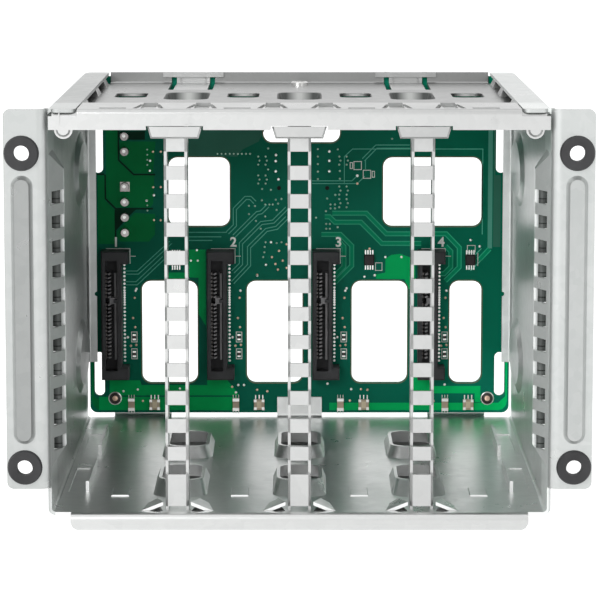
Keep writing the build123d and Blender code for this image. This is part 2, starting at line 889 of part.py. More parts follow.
def drive_contacts(x):
    wall_x = x + body_shift - cavity_width / 2
    with BuildPart() as contacts:
        with BuildSketch(front_plane(cage_depth - connector_depth + cavity_depth)):
            with Locations(*[(wall_x + contact_thickness / 2, height) for height in contact_heights()]):
                Rectangle(contact_thickness, contact_width)
        extrude(amount=contact_reach)
    return contacts.part


for index, x in enumerate(connector_places):
    save(drive_connector(x), f"drive_connector_{index + 1}")
    save(drive_contacts(x), f"drive_contacts_{index + 1}")


# Grommets: four rubber bushes clipped through the ears
with BuildPart() as ear_grommets:
    heights = (grommet_low, grommet_high)
    grommet_places = [(side * grommet_x, height) for side in (-1, 1) for height in heights]
    with BuildSketch(front_plane(0)):
        with Locations(*grommet_places):
            Circle(grommet_radius)
    extrude(amount=grommet_flange, taper=math.degrees(math.atan(grommet_edge / grommet_flange)))
    with BuildSketch(front_plane(0)):
        with Locations(*grommet_places):
            Circle(grommet_neck)
    extrude(amount=-sheet)
    with BuildSketch(front_plane(sheet)):
        with Locations(*grommet_places):
            Circle(grommet_rear_radius)
    extrude(amount=-grommet_flange)
    with BuildSketch(front_plane(-grommet_flange)):
        with Locations(*grommet_places):
            Circle(grommet_bore)
    extrude(amount=-(2 * grommet_flange + sheet), mode=Mode.SUBTRACT)

save(ear_grommets.part, "ear_grommets")


# Power connectors on the rear of the board, open to the rear, with their four square pins
def power_header(row):
    middle = row + (header_pins - 1) * header_pitch / 2
    with BuildPart() as header:
        with BuildSketch(front_plane(cage_depth + board_thickness)):
            with Locations((header_x, middle)):
                Rectangle(header_width, header_length)
        extrude(amount=-header_depth)
        chamfer(header.edges().filter_by(Axis.Y).group_by(Axis.X)[-1], length=header_corner)
        with BuildSketch(front_plane(cage_depth + board_thickness + header_floor)):
            with Locations((header_x, middle)):
                Rectangle(header_width - 2 * header_wall, header_length - 2 * header_wall)
        extrude(amount=header_floor - header_depth, mode=Mode.SUBTRACT)
        with BuildSketch(front_plane(cage_depth + board_thickness)):
            with Locations(*[(header_x, row + offset) for offset in pin_offsets]):
                Rectangle(pin_opening, pin_opening)
        extrude(amount=-header_floor, mode=Mode.SUBTRACT)
    return header.part


def power_pins(row):
    with BuildPart() as pins:
        with BuildSketch(front_plane(cage_depth - pin_standout)):
            with Locations(*[(header_x, row + offset) for offset in pin_offsets]):
                Rectangle(pin_size, pin_size)
        extrude(amount=-(pin_standout + board_thickness + header_depth - pin_recess))
    return pins.part


for row, row_name in zip(header_pin_rows, ("lower", "upper")):
    save(power_header(row), f"power_header_{row_name}")
    save(power_pins(row), f"power_pins_{row_name}")

# Data connector on the rear of the board: metal shell, moulded core and two rows of contacts
with BuildPart() as data_shell_part:
    with BuildSketch(front_plane(cage_depth + board_thickness)):
        with Locations((data_x, data_z)):
            Rectangle(data_width, data_height)
            Rectangle(data_width - 2 * data_shell, data_height - 2 * data_shell, mode=Mode.SUBTRACT)
    extrude(amount=-data_depth)

save(data_shell_part.part, "data_connector_shell")

with BuildPart() as data_core:
    with BuildSketch(front_plane(cage_depth + board_thickness)):
        with Locations((data_x, data_z)):
            Rectangle(data_width - 2 * data_shell, data_height - 2 * data_shell)
    extrude(amount=-(data_depth - data_shell))
    with BuildSketch(front_plane(cage_depth + board_thickness + data_depth - data_shell)):
        with Locations((data_x, data_z)):
            Rectangle(data_slot_width, data_slot_height)
    extrude(amount=data_slot_depth, mode=Mode.SUBTRACT)

save(data_core.part, "data_connector_core")

with BuildPart() as data_contacts:
    contact_row = (data_slot_height - data_contact_thickness) / 2
    with BuildSketch(front_plane(cage_depth + board_thickness + data_depth - data_shell - data_slot_depth)):
        with Locations((data_x, data_z)):
            with GridLocations(data_contact_pitch, 2 * contact_row, data_contact_count, 2):
                Rectangle(data_contact_width, data_contact_thickness)
    extrude(amount=-data_contact_reach)

save(data_contacts.part, "data_connector_contacts")

# Lamps along the lower edge of the board, a square one and a narrow one for each bay
with BuildPart() as bay_lamps:
    with BuildSketch(front_plane(cage_depth)):
        with Locations(*[(x + bay_lamp_offset, lamp_z) for x in bay_centres]):
            Rectangle(bay_lamp_size, bay_lamp_size)
    extrude(amount=bay_lamp_thickness)

save(bay_lamps.part, "bay_lamps")

with BuildPart() as side_lamps:
    with BuildSketch(front_plane(cage_depth)):
        with Locations(*[(x + side_lamp_offset, lamp_z) for x in bay_centres]):
            Rectangle(side_lamp_width, side_lamp_height)
    extrude(amount=side_lamp_thickness)

save(side_lamps.part, "side_lamps")

# Small chips and resistor packs on the front of the board
with BuildPart() as board_chips:
    with BuildSketch(front_plane(cage_depth)):
        with Locations(*[(connector_places[i] + offset, chip_z) for i, offset in chip_offsets]):
            Rectangle(chip_width, chip_height)
    extrude(amount=chip_thickness)
    chamfer(board_chips.faces().group_by(Axis.Y)[0].edges(), length=chip_edge)

save(board_chips.part, "board_chips")

with BuildPart() as resistor_packs:
    with BuildSketch(front_plane(cage_depth)):
        for height in pack_heights:
            with Locations(*[(x + pack_offset, height) for x in connector_places[:-1]]):
                Rectangle(pack_width, pack_height)
            with Locations((connector_places[-1] + end_pack_offset, height)):
                Rectangle(pack_width, pack_height)
    extrude(amount=pack_thickness)

save(resistor_packs.part, "resistor_packs")
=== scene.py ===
import bpy
import bmesh
import json
import math
from mathutils import Matrix, Vector


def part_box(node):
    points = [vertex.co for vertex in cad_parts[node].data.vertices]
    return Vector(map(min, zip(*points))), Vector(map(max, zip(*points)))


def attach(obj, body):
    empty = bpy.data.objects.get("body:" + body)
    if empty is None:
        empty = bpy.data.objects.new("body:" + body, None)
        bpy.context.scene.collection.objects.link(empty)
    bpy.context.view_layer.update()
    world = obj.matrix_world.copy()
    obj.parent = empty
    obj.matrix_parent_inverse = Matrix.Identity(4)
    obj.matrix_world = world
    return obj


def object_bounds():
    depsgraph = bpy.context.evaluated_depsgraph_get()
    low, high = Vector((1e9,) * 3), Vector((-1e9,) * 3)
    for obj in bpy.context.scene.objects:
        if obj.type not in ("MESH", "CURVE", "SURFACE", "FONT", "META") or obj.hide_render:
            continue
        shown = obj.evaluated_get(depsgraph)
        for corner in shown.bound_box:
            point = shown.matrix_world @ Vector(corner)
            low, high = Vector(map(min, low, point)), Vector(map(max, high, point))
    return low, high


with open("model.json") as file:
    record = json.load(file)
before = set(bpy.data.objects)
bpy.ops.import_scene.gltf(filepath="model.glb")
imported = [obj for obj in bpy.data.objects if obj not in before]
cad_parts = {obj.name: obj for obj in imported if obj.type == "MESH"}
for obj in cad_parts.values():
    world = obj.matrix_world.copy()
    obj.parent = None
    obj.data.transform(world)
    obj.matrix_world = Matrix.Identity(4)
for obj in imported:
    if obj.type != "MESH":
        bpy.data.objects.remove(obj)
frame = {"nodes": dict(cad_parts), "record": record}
cadBox = [list(corner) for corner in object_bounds()]
print("stage 1: frame loaded")

mm = 0.001
cageBody = "cage"
beadDepth = 1.5 * mm  # raised beads of the ears
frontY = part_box("left_side_wall")[0][1] + beadDepth  # plane of the ears, behind their beads
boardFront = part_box("backplane_board")[0][1]
earPlane, boardPlane = frontY / mm, boardFront / mm
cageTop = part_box("top_plate")[1][2] / mm
bayMiddles = (-52.5, -17.5, 17.5, 52.5)
postMiddles = (-35.0, 0.0, 35.0)
connectorNumbers = (1, 2, 3, 4)


def boxMiddle(name):
    # Middle of a node's box, in mm
    low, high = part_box(name)
    return [(first + second) / (2 * mm) for first, second in zip(low, high)]


def connectorX(number):
    return boxMiddle("drive_connector_%d" % number)[0]


# Camera, placed in front of the open bays and a little above them
cameraSetup = {
    "distance": 874.7 * mm,  # from the ear plane
    "side": 0.17 * mm,
    "height": 187.3 * mm,
    "tiltDown": 7.876,
    "lens": 187.8,
    "sensor": 36.0,
    "clipEnd": 20.0,
}
camData = bpy.data.cameras.new("camera")
camData.lens = cameraSetup["lens"]
camData.sensor_width = cameraSetup["sensor"]
camData.sensor_fit = "HORIZONTAL"
camData.clip_end = cameraSetup["clipEnd"]
camera = bpy.data.objects.new("camera", camData)
camera.location = (cameraSetup["side"], frontY - cameraSetup["distance"], cameraSetup["height"])
camera.rotation_euler = (math.radians(90.0 - cameraSetup["tiltDown"]), 0.0, 0.0)
bpy.context.scene.collection.objects.link(camera)
bpy.context.scene.camera = camera
bpy.context.scene.view_settings.view_transform = "Standard"


# Small helpers for node trees
def setInputs(links, node, values):
    # Each value is a socket to link or a plain value to set
    for label, value in values.items():
        if isinstance(value, bpy.types.NodeSocket):
            links.new(value, node.inputs[label])
        else:
            node.inputs[label].default_value = value


def mathNode(nodes, links, operation, *values, kind="Math"):
    node = nodes.new("ShaderNode" + kind)
    node.operation = operation
    setInputs(links, node, dict(enumerate(values)))
    return node.outputs[0]


def axisParts(nodes, links, vector):
    parts = nodes.new("ShaderNodeSeparateXYZ")
    links.new(vector, parts.inputs[0])
    return [parts.outputs[axis] for axis in "XYZ"]


def rangeNode(nodes, links, source, low, high, outLow, outHigh):
    mapped = nodes.new("ShaderNodeMapRange")
    limits = {"From Min": low, "From Max": high, "To Min": outLow, "To Max": outHigh}
    setInputs(links, mapped, {"Value": source, **limits})
    return mapped.outputs[0]


def seenRays(nodes, links):
    # One for rays from the camera, in reflections and through clear things
    path = nodes.new("ShaderNodeLightPath")
    either = mathNode(nodes, links, "MAXIMUM", path.outputs["Is Camera Ray"], path.outputs["Is Glossy Ray"])
    return mathNode(nodes, links, "MAXIMUM", either, path.outputs["Is Transmission Ray"])


# World: white for the camera and in reflections, a plain level for the light itself
worldSetup = {"lightLevel": 0.8, "background": 1.0}
pureWhite = (1.0, 1.0, 1.0, 1.0)


def buildWorld():
    world = bpy.data.worlds.new("studioWorld")
    bpy.context.scene.world = world
    world.use_nodes = True
    nodes = world.node_tree.nodes
    links = world.node_tree.links
    nodes.clear()
    output = nodes.new("ShaderNodeOutputWorld")
    mixer = nodes.new("ShaderNodeMixShader")
    links.new(seenRays(nodes, links), mixer.inputs[0])
    for place, label in ((1, "lightLevel"), (2, "background")):
        light = nodes.new("ShaderNodeBackground")
        setInputs(links, light, {"Color": pureWhite, "Strength": worldSetup[label]})
        links.new(light.outputs[0], mixer.inputs[place])
    links.new(mixer.outputs[0], output.inputs["Surface"])


buildWorld()

# Lamps: a wide soft box at the front left, weaker ones at the right and above
lampSetup = {
    "key": {"place": (-0.75, -1.3, 0.75), "size": 0.9, "power": 12.5},
    "fill": {"place": (0.9, -1.3, 0.5), "size": 0.8, "power": 1.5},
    "top": {"place": (-0.2, -0.2, 1.4), "size": 1.0, "power": 0.8},
}
lampTarget = (0.0, 0.0, 0.06)


def buildLamps():
    for name, values in lampSetup.items():
        data = bpy.data.lights.new(name + "Lamp", "AREA")
        data.shape = "SQUARE"
        data.size = values["size"]
        data.energy = values["power"]
        lamp = bpy.data.objects.new(name + "Lamp", data)
        lamp.location = values["place"]
        aim = Vector(lampTarget) - Vector(values["place"])
        lamp.rotation_euler = aim.to_track_quat("-Z", "Y").to_euler()
        bpy.context.scene.collection.objects.link(lamp)


buildLamps()
print("stage 2: camera, world and lamps")


# Helpers for materials
def newMaterial(name):
    mat = bpy.data.materials.new(name)
    mat.use_nodes = True
    nodes = mat.node_tree.nodes
    nodes.clear()
    output = nodes.new("ShaderNodeOutputMaterial")
    shader = nodes.new("ShaderNodeBsdfPrincipled")
    mat.node_tree.links.new(shader.outputs[0], output.inputs["Surface"])
    return mat, nodes, mat.node_tree.links, shader


def objectCoords(nodes):
    return nodes.new("ShaderNodeTexCoord").outputs["Object"]


def noiseNode(nodes, links, vector, scale, detail=4.0, rough=0.55):
    noise = nodes.new("ShaderNodeTexNoise")
    setInputs(links, noise, {"Vector": vector, "Scale": scale, "Detail": detail, "Roughness": rough})
    return noise.outputs["Fac"]


def rampNode(nodes, links, source, stops):
    ramp = nodes.new("ShaderNodeValToRGB")
    for element, (place, color) in zip(ramp.color_ramp.elements, stops):
        element.position = place
        element.color = (*color, 1.0)
    links.new(source, ramp.inputs[0])
    return ramp.outputs[0]


def scaledColor(nodes, links, color, factor):
    scaled = nodes.new("ShaderNodeVectorMath")
    scaled.operation = "SCALE"
    setInputs(links, scaled, {0: color, "Scale": factor})
    return scaled.outputs[0]


def bumpNode(nodes, links, height, shader, strength, distance):
    bump = nodes.new("ShaderNodeBump")
    setInputs(links, bump, {"Height": height, "Strength": strength, "Distance": distance})
    links.new(bump.outputs["Normal"], shader.inputs["Normal"])


# Galvanised sheet: bright zinc with faint spangle. Its colour is scaled by painted light and shade by place: front is
# before a plane and behind past it, each as (left, right), a painted gradient across; a painted shadow darkens the
# outer upper edge at the bend, and each step (from, to, left, right) paints the inner faces further back lighter or
# darker.
# The four entries are copies of one zinc, made lighter or darker as painted light and shade. Planes and steps are in
# mm.
zincLooks = {
    "zinc": {
        "light": (0.565, 0.57, 0.565), "dark": (0.52, 0.527, 0.523),
        "front": (1.05, 0.70), "behind": (1.04, 0.84), "plane": (0.0, 1.0),
    },
    "wallZinc": {
        "light": (0.525, 0.54, 0.533), "dark": (0.47, 0.49, 0.482), "metal": 0.6,
        "front": (0.61, 0.9), "behind": (0.96, 1.05), "plane": (-1.3, -0.2), "bend": 0.8,
        "steps": ((1.6, 2.6, 1.17, 1.57), (22.0, 26.0, 0.66, 0.8), (153.0, 155.0, 1.6, 1.4)),
    },
    "topZinc": {
        "light": (0.575, 0.58, 0.575), "dark": (0.52, 0.527, 0.523),
        "front": (1.03, 0.94), "behind": (0.63, 0.63), "plane": (24.0, 29.0),
    },
    "floorZinc": {
        "light": (0.83, 0.84, 0.83), "dark": (0.77, 0.78, 0.775),
        "front": (0.76, 0.70), "behind": (1.0, 1.0), "plane": (0.1, 1.2),
    },
}
zincFilm = {
    "spangleScale": 420.0, "cloudScale": 35.0, "cloudDetail": 5.0, "cloudShare": 0.7, "grainScale": 1600.0,
    "bump": 0.003, "bumpDepth": 0.0002, "roughLow": 0.26, "roughHigh": 0.36,
}
# Places of the painted shade in mm: the painted shadow on the walls' outer upper bend (out from the middle, up, and
# behind the ears), the thickness of the walls in which the painted steps end, and how far left and right are from the
# middle
paintedShadePlaces = {
    "bendOut": (70.6, 71.3), "bendUp": (117.4, 117.9), "bendBack": (1.5, 3.0), "inner": (70.9, 71.4), "side": 80.0,
}


# Painted light and shade: a factor by place which scales the zinc's colour
def placeShade(nodes, links, look):
    x, y, z = axisParts(nodes, links, objectCoords(nodes))
    whole = mathNode(nodes, links, "ABSOLUTE", x)

    def along(source, limits, near, far, start=0.0):
        low, high = (start + limit * mm for limit in limits)
        return rangeNode(nodes, links, source, low, high, near, far)

    def leftToRight(left, right):
        return along(x, (-paintedShadePlaces["side"], paintedShadePlaces["side"]), left, right)

    def product(first, second):
        return mathNode(nodes, links, "MULTIPLY", first, second)

    shade = along(y, look["plane"], leftToRight(*look["front"]), leftToRight(*look["behind"]), frontY)
    if "bend" not in look:
        return shade
    # Painted shadow on the walls' outer upper bend
    inBend = product(along(whole, paintedShadePlaces["bendOut"], 0.0, look["bend"]), along(z, paintedShadePlaces["bendUp"], 0.0, 1.0))
    inBend = product(inBend, along(y, paintedShadePlaces["bendBack"], 0.0, 1.0, frontY))
    shade = product(shade, mathNode(nodes, links, "SUBTRACT", 1.0, inBend))
    # Painted steps of light and shade on the inner faces of the walls
    for low, high, left, right in look["steps"]:
        inner = along(whole, paintedShadePlaces["inner"], leftToRight(left, right), 1.0)
        shade = product(shade, along(y, (low, high), 1.0, inner, frontY))
    return shade


def zincMaterial(name):
    look = zincLooks[name]
    mat, nodes, links, shader = newMaterial(name)
    coords = objectCoords(nodes)
    spangle = nodes.new("ShaderNodeTexVoronoi")
    spangle.inputs["Scale"].default_value = zincFilm["spangleScale"]
    links.new(coords, spangle.inputs["Vector"])
    separate = nodes.new("ShaderNodeSeparateColor")
    links.new(spangle.outputs["Color"], separate.inputs[0])
    blend = nodes.new("ShaderNodeMix")
    blend.data_type = "FLOAT"
    blend.inputs[0].default_value = zincFilm["cloudShare"]
    links.new(separate.outputs[0], blend.inputs[2])
    links.new(noiseNode(nodes, links, coords, zincFilm["cloudScale"], zincFilm["cloudDetail"]), blend.inputs[3])
    color = rampNode(nodes, links, blend.outputs[0], [(0.2, look["dark"]), (0.75, look["light"])])
    # The colour is scaled by the painted light and shade
    base = scaledColor(nodes, links, color, placeShade(nodes, links, look))
    rough = rangeNode(nodes, links, blend.outputs[0], 0.2, 0.8, zincFilm["roughHigh"], zincFilm["roughLow"])
    setInputs(links, shader, {"Base Color": base, "Metallic": look.get("metal", 1.0), "Roughness": rough})
    grain = noiseNode(nodes, links, coords, zincFilm["grainScale"], 3.0)
    bumpNode(nodes, links, grain, shader, zincFilm["bump"], zincFilm["bumpDepth"])
    return mat


# Dark sheets put inside the drawn collars and holes to stand for their shade: painted shade at the ends and a
# painted highlight in the middle, where it faces the light
collarShadeLook = {
    "middle": (0.42, 0.43, 0.42), "ends": (0.06, 0.065, 0.063), "pitch": 17.5 * mm, "reach": 5.6 * mm,
    "metal": 0.6, "rough": 0.4,
}


def collarMaterial():
    mat, nodes, links, shader = newMaterial("paintedCollarShade")
    x = axisParts(nodes, links, objectCoords(nodes))[0]
    folded = mathNode(nodes, links, "PINGPONG", x, collarShadeLook["pitch"] / 2)
    place = rangeNode(nodes, links, folded, 0.0, collarShadeLook["reach"], 0.0, 1.0)
    color = rampNode(nodes, links, place, [(0.1, collarShadeLook["middle"]), (0.75, collarShadeLook["ends"])])
    setInputs(links, shader, {"Base Color": color, "Metallic": collarShadeLook["metal"], "Roughness": collarShadeLook["rough"]})
    return mat


# Solder mask: dark over bare laminate, brighter over copper, each with a soft cloudiness
maskLooks = {
    "mask": {"deep": (0.0, 0.13, 0.074), "light": (0.003, 0.175, 0.108)},
    "maskPower": {"deep": (0.0, 0.19, 0.05), "light": (0.0, 0.245, 0.068)},
    "maskLeaf": {"deep": (0.0, 0.40, 0.10), "light": (0.0, 0.52, 0.14)},
    "maskDusk": {"deep": (0.032, 0.145, 0.098), "light": (0.045, 0.185, 0.13)},
    "maskGap": {"deep": (0.0, 0.028, 0.012), "light": (0.002, 0.045, 0.022)},
    "maskBand": {"deep": (0.0, 0.25, 0.115), "light": (0.003, 0.31, 0.15)},
    "maskRail": {"deep": (0.08, 0.31, 0.23), "light": (0.11, 0.36, 0.27)},
    "bandEdge": {"deep": (0.03, 0.39, 0.22), "light": (0.05, 0.44, 0.26)},
    "maskLine": {"deep": (0.10, 0.46, 0.33), "light": (0.14, 0.54, 0.40)},
}
# The mask is lighter towards the right, between two places across the board: painted light
maskFilm = {
    "rough": 0.42, "sheen": 0.07, "cloudScale": 22.0, "weaveScale": 1400.0, "bump": 0.08, "bumpDepth": 0.0001,
    "from": 0.02, "to": 0.052, "left": 1.08, "right": 1.65,
}


def maskMaterial(name):
    look = maskLooks[name]
    mat, nodes, links, shader = newMaterial(name)
    coords = objectCoords(nodes)
    cloud = noiseNode(nodes, links, coords, maskFilm["cloudScale"], 2.0, 0.4)
    base = rampNode(nodes, links, cloud, [(0.42, look["deep"]), (0.56, look["light"])])
    x = axisParts(nodes, links, coords)[0]
    # Painted light: the mask's colour is scaled up towards the right
    across = rangeNode(nodes, links, x, maskFilm["from"], maskFilm["to"], maskFilm["left"], maskFilm["right"])
    finish = {"Roughness": maskFilm["rough"], "Specular IOR Level": maskFilm["sheen"]}
    setInputs(links, shader, {"Base Color": scaledColor(nodes, links, base, across), **finish})
    weave = noiseNode(nodes, links, coords, maskFilm["weaveScale"], 2.0)
    bumpNode(nodes, links, weave, shader, maskFilm["bump"], maskFilm["bumpDepth"])
    return mat


# Plain moulded or drawn finishes: one colour with slight cloudiness and a fine surface grain
plainCommon = {"metal": 0.0, "sheen": 0.5, "grain": 1500.0, "cloudScale": 120.0, "bump": 0.12, "bumpDepth": 0.0001}
plainLooks = {
    "blackPlastic": {"color": (0.074, 0.074, 0.078), "shade": 0.7, "rough": 0.5, "sheen": 0.2},
    "combPlastic": {"color": (0.34, 0.33, 0.34), "shade": 0.7, "rough": 0.5, "sheen": 0.3},
    # Zinc darkened to stand for the shade in the wall slits: painted shade on the louvre blades
    "shadedZinc": {"color": (0.115, 0.125, 0.12), "shade": 0.45, "rough": 0.45, "metal": 0.6, "grain": 900.0},
    "whitePlastic": {"color": (0.78, 0.77, 0.72), "shade": 0.9, "rough": 0.45, "grain": 1200.0},
    "contactMetal": {"color": (0.83, 0.72, 0.47), "shade": 0.85, "rough": 0.25, "metal": 1.0, "grain": 2500.0},
    "brightSteel": {"color": (0.72, 0.72, 0.71), "shade": 0.85, "rough": 0.25, "metal": 1.0, "grain": 2000.0},
    "blackRubber": {"color": (0.028, 0.028, 0.03), "shade": 0.6, "rough": 0.62, "grain": 900.0},
    "lampBody": {"color": (0.62, 0.50, 0.36), "shade": 0.8, "rough": 0.35},
    "packCeramic": {"color": (0.07, 0.055, 0.05), "shade": 0.6, "rough": 0.4},
    "tinned": {"color": (0.93, 0.94, 0.91), "shade": 0.92, "rough": 0.3, "metal": 1.0, "grain": 2500.0},
    "viaFilm": {"color": (0.40, 0.62, 0.50), "shade": 0.85, "rough": 0.35, "metal": 0.9, "grain": 2500.0},
    "solder": {"color": (0.56, 0.53, 0.52), "shade": 0.7, "rough": 0.36, "metal": 1.0, "grain": 1800.0},
    "copperPad": {"color": (0.85, 0.60, 0.45), "shade": 0.85, "rough": 0.35, "metal": 1.0, "grain": 2000.0},
    "printInk": {"color": (0.86, 0.90, 0.85), "shade": 0.92, "rough": 0.5, "metal": 0.35, "grain": 2500.0},
    # The drive contacts darkened to stand for the shade deep in the connector slots: painted shade
    "slotContact": {"color": (0.13, 0.12, 0.115), "shade": 0.7, "rough": 0.35, "metal": 1.0, "grain": 2500.0},
    "lampClear": {"color": (0.86, 0.74, 0.52), "shade": 0.85, "rough": 0.2, "grain": 2500.0},
    "laminate": {"color": (0.20, 0.24, 0.14), "shade": 0.8, "rough": 0.5, "sheen": 0.2},
    "chipPlastic": {"color": (0.05, 0.038, 0.039), "shade": 0.7, "rough": 0.5, "sheen": 0.3},
    # Black that stands for the shade inside the board's key holes and at the louvres' step: painted shade
    "paintedBlackShade": {"color": (0.006, 0.008, 0.007), "shade": 0.6, "rough": 0.8, "grain": 900.0},
}


def plainMaterial(name):
    look = {**plainCommon, **plainLooks[name]}
    mat, nodes, links, shader = newMaterial(name)
    coords = objectCoords(nodes)
    cloud = noiseNode(nodes, links, coords, look["cloudScale"])
    dark = tuple(channel * look["shade"] for channel in look["color"])
    color = rampNode(nodes, links, cloud, [(0.3, dark), (0.65, look["color"])])
    rough = rangeNode(nodes, links, cloud, 0.3, 0.7, look["rough"] * 1.15, look["rough"] * 0.9)
    sheen = {"Metallic": look["metal"], "Specular IOR Level": look["sheen"]}
    setInputs(links, shader, {"Base Color": color, "Roughness": rough, **sheen})
    bumpNode(nodes, links, noiseNode(nodes, links, coords, look["grain"], 3.0), shader, look["bump"], look["bumpDepth"])
    return mat


finishes = {"paintedCollarShade": collarMaterial()}
for looks, maker in ((plainLooks, plainMaterial), (zincLooks, zincMaterial), (maskLooks, maskMaterial)):
    finishes.update({name: maker(name) for name in looks})

slotFinishes = {
    "galvanised_sheet": "zinc",
    "rivet_steel": "brightSteel",
    "circuit_board": "mask",
    "black_plastic": "blackPlastic",
    "white_plastic": "whitePlastic",
    "contact_metal": "contactMetal",
    "lamp_plastic": "lampBody",
    "pack_ceramic": "packCeramic",
    "black_rubber": "blackRubber",
}
# Nodes whose finish differs from that of their slot
nodeFinishes = {
    # The walls, floor and top take lighter or darker copies of the zinc: painted light and shade
    "left_side_wall": "wallZinc",
    "right_side_wall": "wallZinc",
    "floor_pan": "floorZinc",
    "top_plate": "topZinc",
    "board_chips": "chipPlastic",
}
# The drive contacts take a darker metal: painted shade in the connector slots
nodeFinishes.update({"drive_contacts_%d" % number: "slotContact" for number in connectorNumbers})


def dressNodes():
    for part in frame["record"]["subparts"]:
        node = frame["nodes"][part["node"]]
        node.data.materials.clear()
        finish = nodeFinishes.get(part["node"], slotFinishes[part["material_slot"]])
        node.data.materials.append(finishes[finish])


dressNodes()
print("stage 3: CAD nodes dressed")


# Floor under the cage, plain and pale; the camera and reflections see it white, with its shadow; beneath the cage
# its glow is cut out by the cage's footprint, a painted shadow where no light comes
floorSetup = {
    "size": 9.0, "color": (0.8, 0.8, 0.8, 1.0), "rough": 0.9, "seenWhite": 0.62, "darkWidth": 0.78, "darkEdge": 0.97,
    "soft": 0.06,
}


def outsideCage(nodes, links):
    # Mask of the painted shadow: zero on the ground under the cage, one outside its footprint
    low, high = cadBox
    middle = ((low[0] + high[0]) / 2, (low[1] + high[1]) / 2, 0.0)
    scale = (2.0 / (floorSetup["darkWidth"] * (high[0] - low[0])), 2.0 / (high[1] - low[1]), 0.0)
    shifted = mathNode(nodes, links, "SUBTRACT", objectCoords(nodes), middle, kind="VectorMath")
    scaled = mathNode(nodes, links, "MULTIPLY", shifted, scale, kind="VectorMath")
    whole = mathNode(nodes, links, "ABSOLUTE", scaled, kind="VectorMath")
    larger = mathNode(nodes, links, "MAXIMUM", *axisParts(nodes, links, whole)[:2])
    edge = floorSetup["darkEdge"]
    return rangeNode(nodes, links, larger, edge - floorSetup["soft"], edge, 0.0, 1.0)


def buildFloor():
    mesh = bpy.data.meshes.new("floorPlane")
    half = floorSetup["size"] / 2
    corners = [(-half, -half, 0.0), (half, -half, 0.0), (half, half, 0.0), (-half, half, 0.0)]
    mesh.from_pydata(corners, [], [(0, 1, 2, 3)])
    plane = bpy.data.objects.new("floorPlane", mesh)
    bpy.context.scene.collection.objects.link(plane)
    mat, nodes, links, shader = newMaterial("paleFloor")
    level = mathNode(nodes, links, "MULTIPLY", seenRays(nodes, links), floorSetup["seenWhite"])
    # The glow is cut out under the cage: painted shadow
    clear = mathNode(nodes, links, "MULTIPLY", level, outsideCage(nodes, links))
    plain = {"Base Color": floorSetup["color"], "Roughness": floorSetup["rough"], "Specular IOR Level": 0.0}
    setInputs(links, shader, {**plain, "Emission Color": pureWhite, "Emission Strength": clear})
    mesh.materials.append(mat)


buildFloor()
print("stage 4: floor")


# Helpers for the extra pieces; outlines and places are in mm
def placePiece(name, mesh, body=cageBody):
    piece = bpy.data.objects.new(name, mesh)
    bpy.context.scene.collection.objects.link(piece)
    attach(piece, body)


def shapePiece(name, shape, finish, body=cageBody):
    bmesh.ops.recalc_face_normals(shape, faces=shape.faces)
    mesh = bpy.data.meshes.new(name)
    shape.to_mesh(mesh)
    shape.free()
    mesh.materials.append(finishes[finish])
    placePiece(name, mesh, body)


# Flat layers on the board's front face: each starts just inside the board and stands this far out
layerSetup = {"sink": 0.02, "copper": 0.03, "trace": 0.045, "mark": 0.06, "pad": 0.08}


def addPlate(shape, outline, height):
    # Thin closed plate on the board's front, from an outline of (x, z) points
    front = [shape.verts.new((x * mm, boardFront - height * mm, z * mm)) for x, z in outline]
    back = [shape.verts.new((x * mm, boardFront + layerSetup["sink"] * mm, z * mm)) for x, z in outline]
    shape.faces.new(front)
    shape.faces.new(back[::-1])
    for index in range(len(outline)):
        after = (index + 1) % len(outline)
        shape.faces.new((front[after], front[index], back[index], back[after]))


def platePiece(name, outlines, layer, finish):
    shape = bmesh.new()
    for outline in outlines:
        addPlate(shape, outline, layerSetup[layer])
    shapePiece(name, shape, finish)


def ribbonOutline(points, width, shift=0.0):
    # Outline of a trace of one width, moved sideways by shift, with mitred corners
    near, far = [], []
    for index, point in enumerate(points):
        here = Vector(point)
        before = here - Vector(points[max(index - 1, 0)])
        after = Vector(points[min(index + 1, len(points) - 1)]) - here
        before = before.normalized() if before.length > 0 else after.normalized()
        after = after.normalized() if after.length > 0 else before
        middle = (before + after).normalized()
        across = Vector((-middle.y, middle.x)) / max(middle.dot(after), 0.5)
        near.append(here + across * (shift + width / 2))
        far.append(here + across * (shift - width / 2))
    return [tuple(point) for point in near + far[::-1]]


def boxOutline(x, z, width, height):
    return [(x - width / 2, z - height / 2), (x + width / 2, z - height / 2),
            (x + width / 2, z + height / 2), (x - width / 2, z + height / 2)]


def frameOutlines(x, z, width, height, line):
    # Four strips round a small part
    across, up = (width - line) / 2, (height - line) / 2
    level = [boxOutline(x, z + side * up, width, line) for side in (1, -1)]
    return level + [boxOutline(x + side * across, z, line, height - 2 * line) for side in (-1, 1)]


